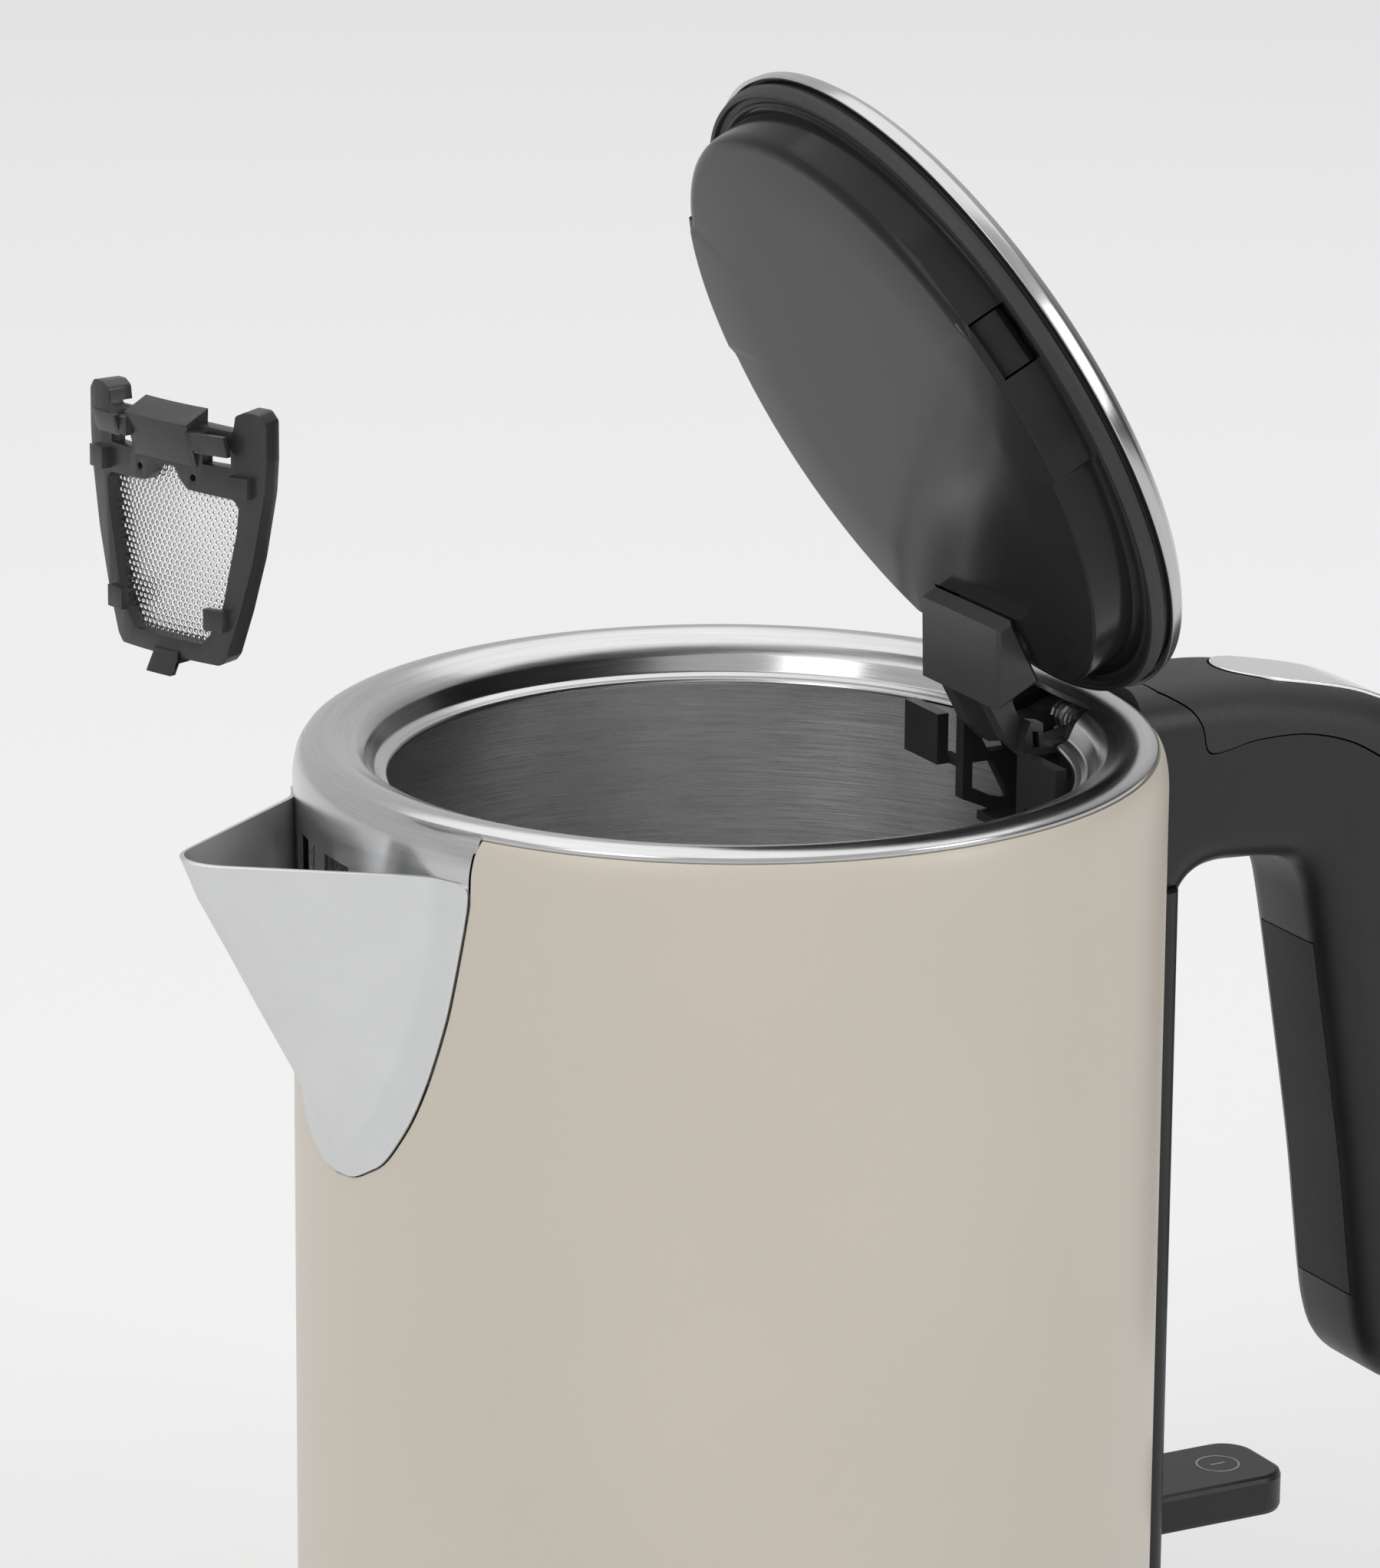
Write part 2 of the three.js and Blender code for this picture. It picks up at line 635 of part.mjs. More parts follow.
function filterFrame() {
  const edge = mirrored([
    [7.6, 16.4], [8.4, 14.9], [14.2, 14.6], [14.6, 17], [16, 18.2], [18.6, 18], [20.2, 16.2], [20.2, 10],
    [19.8, 4.5], [17.7, -6.5], [15, -16], [12.4, -23.4], [11.2, -24.9],
  ]);
  const gap = mirrored([
    [2, 7.2], [3.2, 5.4], [4.6, 3.7], [14.2, 3.4], [15, 2.4], [14.6, -2], [13.1, -8.7], [12, -14],
    [10.4, -18.4], [7.4, -21.8],
  ]);
  const frame = filterBand(71.2, 73.6, edge, gap);
  const hood = block(-3.2, 0.6, -7.6, 7.6, 8.8, 17.2);
  const hook = (y) => block(-5.4, 0.8, y - 3.2, y + 3.2, 10.8, 14.4);
  const clip = (y, z) => block(-3.4, 1.4, y - 1.8, y + 1.8, z - 1.8, z + 1.8);
  const sill = block(-3.6, 0.2, -2.8, 2.8, -27.6, -23.8);
  const eyes = [1, -1].map((k) => block(-9, 6, k * 10.8 - 2.8, k * 10.8 + 2.8, 8.6, 10.6));
  return cut(
    join(frame, hood, hook(11.4), hook(-11.4), clip(15.9, 5.8), clip(-15.9, 5.8), clip(11, -16.9),
      clip(-11, -16.9), sill),
    ...eyes,
  );
}

function filterMesh() {
  const edge = mirrored([[16.2, 8.4], [15.7, -2], [13.2, -13], [9.4, -22.8]]);
  return filterBand(70.3, 70.8, edge);
}

// ---------------------------------------------------------------- power base
function baseTop() {
  return turned([
    [79, 2.6], [79, 19.2], [78, 21.8], [75.6, 23.3], [73.4, 23.7], [66.6, 23.7], [64, 22.6], [16.9, 22.6],
    [16.9, 20.6], [64.8, 20.6], [67.4, 21.7], [73, 21.7], [76, 20.4], [77, 18.4], [77, 2.6],
  ], 48);
}

function baseBottom() {
  const plate = turned([
    [0, 0], [22, 0], [24, 2.4], [30, 5.4], [52, 5.4], [55, 2], [76.6, 2], [76.6, 4], [56, 4],
    [53, 7.4], [29, 7.4], [22.4, 4.2], [21, 2.2], [0, 2.2],
  ], 48);
  const wells = FOOT_AZ.map((az) => rodZ(5.3, 1, 3, ...polar(66, az), 16));
  const bores = SCREW_AZ.map((az) => rodZ(2.1, 0, 9, ...polar(41, az), 12));
  return cut(plate, ...wells, ...bores);
}

function baseConnector() {
  return turned([
    [0, 7.8], [16, 7.8], [16, 36.6], [15, 38], [12.4, 38], [12.4, 12], [0, 12],
  ], 24);
}

function cordInlet() {
  const disc = (radius, x0, x1) => {
    const s = new THREE.Shape();
    s.absarc(0, 8.4, radius, 0, 2 * Math.PI, false);
    return frontal(s, x0, x1);
  };
  return cut(disc(4.2, 74.6, 80.4), disc(2.4, 70, 90));
}

// ---------------------------------------------------------------- assembly
add(kettle, 'outer_shell', outerShell(), PAINT);
add(kettle, 'inner_vessel', innerVessel(), STEEL);
add(kettle, 'rim_ring', rimRing(), STEEL);
add(kettle, 'spout', spout(), STEEL);
add(kettle, 'foot_ring', footRing(), BLACK);
add(kettle, 'bottom_cover', bottomCover(), BLACK);
add(kettle, 'back_strip', backStrip(), BLACK);
add(kettle, 'heater_plate', rodZ(58, -152.4, -150.3, 0, 0, 36), HEATER);
add(kettle, 'heating_element', heatingElement(), HEATER);
add(kettle, 'thermostat_control', rodZ(23, -159.7, -152.7, 0, 0, 32), BLACK);

add(kettle, 'connector_socket', connectorSocket(), BLACK);
add(kettle, 'handle_lower_shell', handleLower(), BLACK);
add(kettle, 'handle_upper_shell', handleUpper(), BLACK_GRAIN);
add(kettle, 'handle_insert', handleInsert(), SILICONE);
add(kettle, 'lid_release_button', releaseButton(), BRIGHT_STEEL);
add(kettle, 'switch_lever', switchLever(), BLACK);
add(kettle, 'lever_pin', rodY(1, -12.6, 12.6, LEVER_X, LEVER_Z), STEEL);

add(kettle, 'hinge_bracket', hingeBracket(), BLACK);
add(kettle, 'hinge_pin', rodY(1, -12.2, 12.2, HINGE_X, HINGE_Z), STEEL);
add(kettle, 'hinge_spring', hingeSpring(), STEEL);

const lidPivot = new THREE.Group();
const lid = new THREE.Group();
lidPivot.position.set(HINGE_X, 0, HINGE_Z);
lidPivot.rotation.y = THREE.MathUtils.degToRad(LID_OPEN);
lid.position.set(-HINGE_X, 0, -HINGE_Z);
lidPivot.add(lid);
kettle.add(lidPivot);
add(lid, 'lid_cap', lidCap(), STEEL);
add(lid, 'lid_inner_cover', lidCover(), BLACK);
add(lid, 'lid_gasket', lidGasket(), RUBBER);
add(lid, 'lid_hinge_arm', hingeArm(), BLACK);
add(lid, 'lid_latch_near', lidLatch(LATCH_AZ), BLACK);
add(lid, 'lid_latch_far', lidLatch(-LATCH_AZ), BLACK);

const filter = new THREE.Group();
filter.position.set(...FILTER_POS);
filter.rotation.z = THREE.MathUtils.degToRad(FILTER_YAW);
kettle.add(filter);
add(filter, 'filter_frame', filterFrame(), BLACK);
add(filter, 'filter_mesh', filterMesh(), BRIGHT_STEEL);

const base = new THREE.Group();
scene.add(base);
add(base, 'base_top_cover', cut(baseTop(), block(70, 84, -4.6, 4.6, 3.8, 13)), BLACK);
add(base, 'base_bottom_cover', baseBottom(), BLACK);
add(base, 'base_connector', baseConnector(), BLACK);
add(base, 'contact_ring', turned([[11.8, 12.3], [11.8, 36.6], [10.2, 36.6], [10.2, 12.3]], 24), BRASS);
add(base, 'contact_pin', rodZ(2.6, 12.3, 36, 0, 0, 20), BRASS);
add(base, 'cord_inlet', cordInlet(), RUBBER);
FOOT_AZ.forEach((az, i) => {
  add(base, `base_foot_${i + 1}`, rodZ(5, 0, 2.7, ...polar(66, az), 16), RUBBER);
});
SCREW_AZ.forEach((az, i) => {
  add(base, `base_screw_${i + 1}`, rodZ(1.8, 4.6, 11, ...polar(41, az), 12), STEEL);
});

export default scene;
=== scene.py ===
import math

import bmesh
import bpy
from mathutils import Matrix, Vector


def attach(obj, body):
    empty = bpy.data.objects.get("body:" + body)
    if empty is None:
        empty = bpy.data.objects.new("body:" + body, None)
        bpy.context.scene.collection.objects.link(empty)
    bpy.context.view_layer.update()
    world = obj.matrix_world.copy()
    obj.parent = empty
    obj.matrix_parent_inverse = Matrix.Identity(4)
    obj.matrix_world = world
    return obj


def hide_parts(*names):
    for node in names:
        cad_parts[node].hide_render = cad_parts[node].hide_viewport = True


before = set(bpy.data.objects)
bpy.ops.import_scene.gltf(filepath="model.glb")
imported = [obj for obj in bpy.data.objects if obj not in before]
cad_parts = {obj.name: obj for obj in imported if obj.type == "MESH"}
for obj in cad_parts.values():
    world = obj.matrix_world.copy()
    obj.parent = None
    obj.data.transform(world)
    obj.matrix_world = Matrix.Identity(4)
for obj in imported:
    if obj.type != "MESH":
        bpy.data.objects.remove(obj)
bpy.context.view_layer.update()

# ------------------------------------------------------------ dimensions, in millimetres
MM = 0.001
SEAM = 206.0          # height of the painted shell's top edge
BODY_R = 75.0
SHELL_BOTTOM = -168.0
HINGE = (68.3, 0.0, -4.3)
LID_OPEN = 62.85      # degrees
FILTER_POS = (-105.8, -3.4, 54.0)
FILTER_YAW = 20.0
FILTER_R = 72.0
HANDLE_HALF = 14.5
HANDLE_ROUND = 7.5
STRIP_X = 81.8
STRIP_TOP = -33.5
FINE = 256            # segments round a turned piece

rad = math.radians
KETTLE = Matrix.Translation((0, 0, SEAM * MM))
TO_HINGE = Matrix.Translation(Vector(HINGE) * MM)
OPEN = KETTLE @ TO_HINGE @ Matrix.Rotation(rad(LID_OPEN), 4, "Y") @ TO_HINGE.inverted()
STRAINER = KETTLE @ Matrix.Translation(Vector(FILTER_POS) * MM) @ Matrix.Rotation(rad(FILTER_YAW), 4, "Z")
TABLE = Matrix.Identity(4)


# ------------------------------------------------------------ node helpers
class Nodes:
    """Short calls for one material's node tree."""

    def __init__(self, name):
        self.mat = bpy.data.materials.new(name)
        self.mat.use_nodes = True
        self.tree = self.mat.node_tree
        self.shader = self.tree.nodes["Principled BSDF"]

    def node(self, kind, **settings):
        n = self.tree.nodes.new(kind)
        for key, value in settings.items():
            setattr(n, key, value)
        return n

    def link(self, out, socket):
        self.tree.links.new(out, socket)

    def math(self, operation, a, b=None):
        n = self.node("ShaderNodeMath", operation=operation)
        for socket, value in zip(n.inputs, (a, b)):
            if value is None:
                continue
            if isinstance(value, (int, float)):
                socket.default_value = value
            else:
                self.link(value, socket)
        return n.outputs[0]

    def combine(self, x, y, z):
        n = self.node("ShaderNodeCombineXYZ")
        for socket, value in zip(n.inputs, (x, y, z)):
            if isinstance(value, (int, float)):
                socket.default_value = value
            else:
                self.link(value, socket)
        return n.outputs[0]

    def place(self):
        n = self.node("ShaderNodeTexCoord")
        return n.outputs["Object"]

    def split(self, vector):
        n = self.node("ShaderNodeSeparateXYZ")
        self.link(vector, n.inputs[0])
        return n.outputs

    def scaled(self, vector, factors):
        n = self.node("ShaderNodeVectorMath", operation="MULTIPLY")
        self.link(vector, n.inputs[0])
        n.inputs[1].default_value = factors
        return n.outputs[0]

    def noise(self, vector, scale, detail=3.0, rough=0.5):
        n = self.node("ShaderNodeTexNoise")
        self.link(vector, n.inputs["Vector"])
        n.inputs["Scale"].default_value = scale
        n.inputs["Detail"].default_value = detail
        n.inputs["Roughness"].default_value = rough
        return n.outputs["Fac"]

    def spread(self, value, low, high, lo=0.3, hi=0.7):
        n = self.node("ShaderNodeMapRange")
        self.link(value, n.inputs["Value"])
        n.inputs["From Min"].default_value = lo
        n.inputs["From Max"].default_value = hi
        n.inputs["To Min"].default_value = low
        n.inputs["To Max"].default_value = high
        return n.outputs[0]

    def shades(self, value, dark, light):
        n = self.node("ShaderNodeMix", data_type="RGBA")
        self.link(value, n.inputs[0])
        n.inputs[6].default_value = (*dark, 1)
        n.inputs[7].default_value = (*light, 1)
        return n.outputs[2]

    def bump(self, height, depth_mm, strength=1.0, under=None):
        n = self.node("ShaderNodeBump")
        self.link(height, n.inputs["Height"])
        n.inputs["Distance"].default_value = depth_mm * MM
        n.inputs["Strength"].default_value = strength
        if under is not None:
            self.link(under, n.inputs["Normal"])
        return n.outputs[0]

    def finish(self, color=None, roughness=None, normal=None, **fixed):
        for key, value in (("Base Color", color), ("Roughness", roughness), ("Normal", normal)):
            if value is None:
                continue
            if isinstance(value, (int, float)):
                self.shader.inputs[key].default_value = value
            elif isinstance(value, tuple):
                self.shader.inputs[key].default_value = (*value, 1)
            else:
                self.link(value, self.shader.inputs[key])
        for key, value in fixed.items():
            self.shader.inputs[key.replace("_", " ")].default_value = value
        return self.mat


def around(n, place):
    """Turn about the local Z axis, distance from it, and height."""
    x, y, z = n.split(place)
    turn = n.math("ARCTAN2", y, x)
    r = n.math("SQRT", n.math("ADD", n.math("MULTIPLY", x, x), n.math("MULTIPLY", y, y)))
    return turn, r, z


def paint():
    n = Nodes("cream_paint")
    p = n.place()
    cloud = n.noise(p, 22, 2)
    peel = n.noise(p, 1500, 2, 0.6)
    fleck = n.noise(p, 5200, 1)
    color = n.shades(n.spread(cloud, 0, 1), (0.566, 0.515, 0.440), (0.578, 0.527, 0.450))
    rough = n.spread(fleck, 0.36, 0.46)
    return n.finish(color, rough, n.bump(peel, 0.012, 0.35), Coat_Weight=0.12, Coat_Roughness=0.3)


def brushed_ring(name, dark, light, low, high, anisotropy=0.55, grain=1.0):
    """Steel brushed round the local Z axis."""
    n = Nodes(name)
    turn, r, z = around(n, n.place())
    across = n.math("ADD", n.math("MULTIPLY", r, 5200), n.math("MULTIPLY", z, 6100))
    line = n.combine(n.math("MULTIPLY", turn, 5), across, n.math("MULTIPLY", z, 900))
    fine = n.noise(line, 1.0, 4, 0.7)
    coarse = n.noise(n.combine(n.math("MULTIPLY", turn, 2.2), n.math("MULTIPLY", across, 0.12), 0.0), 1.0, 3)
    tone = n.math("ADD", n.math("MULTIPLY", fine, 0.6), n.math("MULTIPLY", coarse, 0.4))
    color = n.shades(n.spread(tone, 0, 1), dark, light)
    rough = n.spread(fine, low, high)
    tangent = n.node("ShaderNodeTangent", direction_type="RADIAL", axis="Z")
    n.link(tangent.outputs[0], n.shader.inputs["Tangent"])
    return n.finish(color, rough, n.bump(fine, 0.006 * grain, 0.5), Metallic=1.0, Anisotropic=anisotropy,
                    Anisotropic_Rotation=0.25)


def satin_steel(name, dark, light, low, high, stretch=(1, 1, 0.12)):
    n = Nodes(name)
    p = n.place()
    scratch = n.noise(n.scaled(p, stretch), 2600, 3, 0.7)
    cloud = n.noise(p, 70, 4, 0.6)
    tone = n.math("ADD", n.math("MULTIPLY", scratch, 0.35), n.math("MULTIPLY", cloud, 0.65))
    color = n.shades(n.spread(tone, 0, 1), dark, light)
    wear = n.math("ADD", n.math("MULTIPLY", scratch, 0.5), n.math("MULTIPLY", cloud, 0.5))
    rough = n.spread(wear, low, high)
    return n.finish(color, rough, n.bump(scratch, 0.004, 0.4), Metallic=1.0)


def plastic(name, dark, light, low, high, grain_scale=1700, grain_mm=0.012, specular=0.5):
    n = Nodes(name)
    p = n.place()
    grain = n.noise(p, grain_scale, 3, 0.6)
    cloud = n.noise(p, 45, 3)
    color = n.shades(n.spread(cloud, 0, 1), (dark, dark, dark * 1.05), (light, light, light * 1.05))
    rough = n.spread(n.math("ADD", n.math("MULTIPLY", grain, 0.6), n.math("MULTIPLY", cloud, 0.4)), low, high)
    return n.finish(color, rough, n.bump(grain, grain_mm, 0.6), Specular_IOR_Level=specular)


def grained_plastic():
    n = Nodes("grained_black_plastic")
    p = n.place()
    cells = n.node("ShaderNodeTexVoronoi", feature="SMOOTH_F1")
    n.link(p, cells.inputs["Vector"])
    cells.inputs["Scale"].default_value = 1700
    fine = n.noise(p, 3800, 2)
    height = n.math("ADD", cells.outputs["Distance"], n.math("MULTIPLY", fine, 0.5))
    tone = n.noise(p, 60, 3)
    color = n.shades(n.spread(tone, 0, 1), (0.012, 0.0125, 0.013), (0.016, 0.0165, 0.017))
    return n.finish(color, n.spread(fine, 0.42, 0.58), n.bump(height, 0.05, 0.55))


def metal_noise(name, dark, light, low, high, scale=900):
    n = Nodes(name)
    p = n.place()
    f = n.noise(p, scale, 4, 0.6)
    color = n.shades(n.spread(f, 0, 1), dark, light)
    return n.finish(color, n.spread(f, low, high), n.bump(f, 0.01, 0.4), Metallic=1.0)


PAINT = paint()
RIM_STEEL = brushed_ring("rim_steel", (0.50, 0.50, 0.505), (0.64, 0.64, 0.645), 0.16, 0.27, 0.5)
LID_STEEL = brushed_ring("lid_steel", (0.46, 0.46, 0.47), (0.58, 0.58, 0.59), 0.18, 0.27, 0.5)
VESSEL_STEEL = brushed_ring("vessel_steel", (0.70, 0.70, 0.705), (0.86, 0.86, 0.865), 0.2, 0.36, 0.7, 1.5)
SPOUT_STEEL = satin_steel("spout_steel", (0.64, 0.645, 0.65), (0.70, 0.705, 0.71), 0.34, 0.42)
BRIGHT_STEEL = satin_steel("bright_steel", (0.80, 0.80, 0.80), (0.92, 0.92, 0.92), 0.13, 0.22)
HIDDEN_STEEL = satin_steel("plain_steel", (0.45, 0.45, 0.45), (0.62, 0.62, 0.62), 0.3, 0.45)
HEATER = metal_noise("heater_alloy", (0.36, 0.36, 0.37), (0.52, 0.52, 0.53), 0.4, 0.6)
BRASS = metal_noise("contact_brass", (0.56, 0.38, 0.15), (0.68, 0.48, 0.22), 0.25, 0.4)
BLACK = plastic("black_plastic", 0.012, 0.016, 0.34, 0.46, specular=0.38)
BASE_BLACK = plastic("base_plastic", 0.024, 0.032, 0.4, 0.55, 1100, 0.03)
HINGE_BLACK = plastic("hinge_plastic", 0.02, 0.028, 0.26, 0.4)
LID_BLACK = plastic("lid_plastic", 0.020, 0.025, 0.13, 0.19, 700, 0.003, 0.12)
HOOD_BLACK = plastic("hood_plastic", 0.062, 0.074, 0.3, 0.4, 900, 0.008)
GRAIN = grained_plastic()
SOFT = plastic("soft_grip", 0.016, 0.021, 0.55, 0.7, 2300, 0.02)
RUBBER = plastic("gasket_rubber", 0.02, 0.03, 0.5, 0.68, 1300, 0.02)
MARK = plastic("pale_mark", 0.30, 0.36, 0.5, 0.6)


# ------------------------------------------------------------ mesh helpers
def tidy(mesh, sharp):
    bm = bmesh.new()
    bm.from_mesh(mesh)
    bmesh.ops.remove_doubles(bm, verts=bm.verts, dist=2e-6)
    bmesh.ops.dissolve_degenerate(bm, edges=bm.edges, dist=1e-6)
    bmesh.ops.recalc_face_normals(bm, faces=bm.faces)
    bm.to_mesh(mesh)
    bm.free()
    mesh.shade_smooth()
    mesh.set_sharp_from_angle(angle=rad(sharp))


def made(name, verts, faces, look=None, place=KETTLE, sharp=32):
    mesh = bpy.data.meshes.new(name)
    mesh.from_pydata([Vector(v) * MM for v in verts], [], faces)
    tidy(mesh, sharp)
    ob = bpy.data.objects.new(name, mesh)
    bpy.context.collection.objects.link(ob)
    ob.matrix_world = place
    if look is not None:
        mesh.materials.append(look)
    return ob


def baked(ob, sharp=32):
    """The object's modifiers become its mesh."""
    bpy.context.view_layer.update()
    graph = bpy.context.evaluated_depsgraph_get()
    mesh = bpy.data.meshes.new_from_object(ob.evaluated_get(graph))
    ob.modifiers.clear()
    ob.data = mesh
    tidy(mesh, sharp)
    return ob


def solidify(ob, mm):
    m = ob.modifiers.new("wall", "SOLIDIFY")
    m.thickness = mm * MM
    m.offset = -1
    m.use_even_offset = True
    return ob


def bevel(ob, mm, segments=2, angle=35):
    m = ob.modifiers.new("edge", "BEVEL")
    m.width = mm * MM
    m.segments = segments
    m.limit_method = "ANGLE"
    m.angle_limit = rad(angle)
    m.harden_normals = False
    return ob


def boolean(ob, cutters, operation="DIFFERENCE"):
    for c in cutters:
        m = ob.modifiers.new("cut", "BOOLEAN")
        m.operation = operation
        m.solver = "EXACT"
        m.object = c
    baked(ob)
    for c in cutters:
        bpy.data.objects.remove(c)
    return ob


def keep(ob, body, slot, *nodes):
    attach(ob, body)
    if nodes:
        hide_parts(*nodes)
    return ob


def filleted(points, steps=5, closed=True):
    """Corner points (u, v, radius) as a polyline with arcs."""
    out = []
    count = len(points)
    for i, point in enumerate(points):
        u, v = point[:2]
        r = point[2] if len(point) > 2 else 0
        ends = not closed and i in (0, count - 1)
        if r <= 0 or ends:
            out.append((u, v))
            continue
        a = Vector(points[i - 1][:2]) - Vector((u, v))
        b = Vector(points[(i + 1) % count][:2]) - Vector((u, v))
        turn = a.angle(b)
        reach = min(r / math.tan(turn / 2), a.length * 0.49, b.length * 0.49)
        start = Vector((u, v)) + a.normalized() * reach
        end = Vector((u, v)) + b.normalized() * reach
        for k in range(steps + 1):
            t = k / steps
            corner = Vector((u, v))
            p = start * (1 - t) ** 2 + corner * 2 * t * (1 - t) + end * t ** 2
            out.append((p.x, p.y))
    return out


def smooth_line(points, per=6, closed=False):
    """Catmull-Rom curve through the points."""
    pts = [Vector(p) for p in points]
    n = len(pts)
    out = []
    spans = n if closed else n - 1
    for i in range(spans):
        p1, p2 = pts[i], pts[(i + 1) % n]
        p0 = pts[i - 1] if closed or i > 0 else p1 * 2 - p2
        p3 = pts[(i + 2) % n] if closed or i < n - 2 else p2 * 2 - p1
        for k in range(per):
            t = k / per
            out.append(0.5 * (2 * p1 + (p2 - p0) * t + (2 * p0 - 5 * p1 + 4 * p2 - p3) * t * t
                              + (3 * p1 - p0 - 3 * p2 + p3) * t ** 3))
    if not closed:
        out.append(pts[-1])
    return [tuple(p) for p in out]


def grid(rows, wrap_rows=False, wrap_cols=False):
    """Vertices and quads of a net of points."""
    count = len(rows[0])
    verts = [p for row in rows for p in row]
    faces = []
    for i in range(len(rows) - (0 if wrap_rows else 1)):
        j = (i + 1) % len(rows)
        for k in range(count - (0 if wrap_cols else 1)):
            m = (k + 1) % count
            faces.append((i * count + k, i * count + m, j * count + m, j * count + k))
    return verts, faces


def turned(name, profile, look, place=KETTLE, segments=FINE, closed=True, sharp=32):
    """profile is a list of (radius, z), or a function of the turn in degrees that gives one."""
    rows = []
    for i in range(segments):
        a = 2 * math.pi * i / segments
        line = profile(math.degrees(a)) if callable(profile) else profile
        rows.append([(r * math.cos(a), r * math.sin(a), z) for r, z in line if r > 0])
    solid = closed and len(rows[0]) == len(line)
    verts, faces = grid(rows, wrap_rows=True, wrap_cols=solid)
    count = len(rows[0])
    if line[0][0] == 0:
        faces.append(tuple(i * count for i in range(segments)))
    if line[-1][0] == 0:
        faces.append(tuple(i * count + count - 1 for i in range(segments)))
    return made(name, verts, faces, look, place, sharp)


def prism(name, points, axis, a, b, place=KETTLE, look=None):
    """Flat outline made thick along an axis. Points are the other two coordinates in X, Y, Z order."""
    def spot(u, v, w):
        return {"X": (w, u, v), "Y": (u, w, v), "Z": (u, v, w)}[axis]
    n = len(points)
    verts = [spot(u, v, a) for u, v in points] + [spot(u, v, b) for u, v in points]
    faces = [tuple(range(n)), tuple(range(2 * n - 1, n - 1, -1))]
    faces += [(i, (i + 1) % n, n + (i + 1) % n, n + i) for i in range(n)]
    return made(name, verts, faces, look, place)


def box(name, x0, x1, y0, y1, z0, z1, place=KETTLE, look=None):
    return prism(name, [(x0, y0), (x1, y0), (x1, y1), (x0, y1)], "Z", z0, z1, place, look)


def mirrored(points):
    return [*points, *[(-u, *rest) for u, *rest in reversed(points)]]


# ------------------------------------------------------------ body outlines
# Half width of the spout's flange across Y, by height, and of the painted cut-out round it.
FLANGE = [
    (25.4, -7.4), (26.5, -8.4), (26.6, -10.5), (26.2, -14), (25.4, -19.1), (24.1, -26.7), (22.8, -33),
    (20.2, -42.4), (17.4, -50), (14.5, -55.6), (11.4, -60.2), (8, -63), (4.3, -65.2), (0, -65.8),
]
SHOULDER_R = 1.74


def shoulder(z):
    """Outside radius of the body at a height near its top edge."""
    if z < -7:
        return BODY_R
    return BODY_R - SHOULDER_R + SHOULDER_R * math.sqrt(max(0.03, 1 - ((z + 7) / 7) ** 2))


def opening_line():
    """The cut-out's edge from the seam down to its lowest point, as (degrees, z)."""
    line = [(28.0, 0.0), (27.6, -1.5), (27.3, -3), (27.0, -6), (26.9, -9.5), (26.75, -12)]
    line += [(deg + 0.27, z - 0.1) for deg, z in FLANGE[4:-1]] + [(0.0, -66.2)]
    return smooth_line(line, 6)


OPENING = opening_line()


def sector_rows(line, radius, columns, inside):
    """Rows of points on the body, from edge to edge. inside: between the edges, across the spout."""
    rows = []
    for deg, z in line:
        w = rad(deg)
        row = []
        for k in range(columns + 1):
            t = k / columns
            a = -w + 2 * w * t if inside else w + (2 * math.pi - 2 * w) * t
            r = radius(z)
            row.append((-r * math.cos(a), -r * math.sin(a), z))
        rows.append(row)
    return rows


def outer_shell():
    lower = [(0.0, -66.2 + (SHELL_BOTTOM + 66.2) * k / 16) for k in range(1, 17)]
    rows = sector_rows(OPENING + lower, shoulder, 240, False)
    ob = made("painted_shell", *grid(rows), PAINT, sharp=50)
    solidify(ob, 0.7)
    bevel(ob, 0.16, 2, 50)
    return keep(ob, "kettle", "painted_shell", "outer_shell")


def window_cutters(x0, x1):
    middle = filleted(mirrored([(4.6, -11.2), (4.6, -42), (3.2, -44)]), 3)
    side = [(9.4, -11.2), (20.6, -11.2), (20.2, -20), (18.4, -27), (15.2, -33), (11.2, -38), (9.4, -38.6)]
    return [
        prism("cut_a", middle, "X", x0, x1),
        prism("cut_b", side, "X", x0, x1),
        prism("cut_c", [(-y, z) for y, z in side], "X", x0, x1),
    ]


RIM_TOP = [
    (73.1, -0.3), (73.15, 0.3), (72.9, 0.9), (71.6, 1.65), (70, 2.0), (68.3, 1.75), (66.3, 1.0), (64.3, 0.25),
]
RIM_INNER = [
    (64.3, 0.25, 0), (62.5, -1.5, 1.6), (61.1, -4.3, 0.9), (60.0, -4.8, 0.5), (59.0, -5.0, 0.4),
    (58.6, -5.5, 0.35), (58.8, -6.0, 0.2), (60.2, -5.8, 0.4), (61.9, -5.0, 0.6), (63.1, -2.3, 1),
    (64.4, -0.7, 0.5), (66.8, 0.2, 1), (69.9, 1.1, 1), (71.3, 0.7, 0.3), (72.3, -0.3, 0.1),
]
COLLAR_TOP = [(72.9, 0.9), (74.0, -0.7), (74.65, -3), (75.0, -7)]


def collar_radius(z):
    """Outside radius of the steel collar between the painted edges."""
    line = COLLAR_CURVE
    if z <= line[-1][1]:
        return BODY_R
    for (ra, za), (rb, zb) in zip(line, line[1:]):
        if z >= zb:
            return ra + (rb - ra) * min(1, max(0, (za - z) / (za - zb)))
    return BODY_R


COLLAR_CURVE = smooth_line([(71.6, 1.65), *COLLAR_TOP, (75.0, -11)], 12)[12:-12]


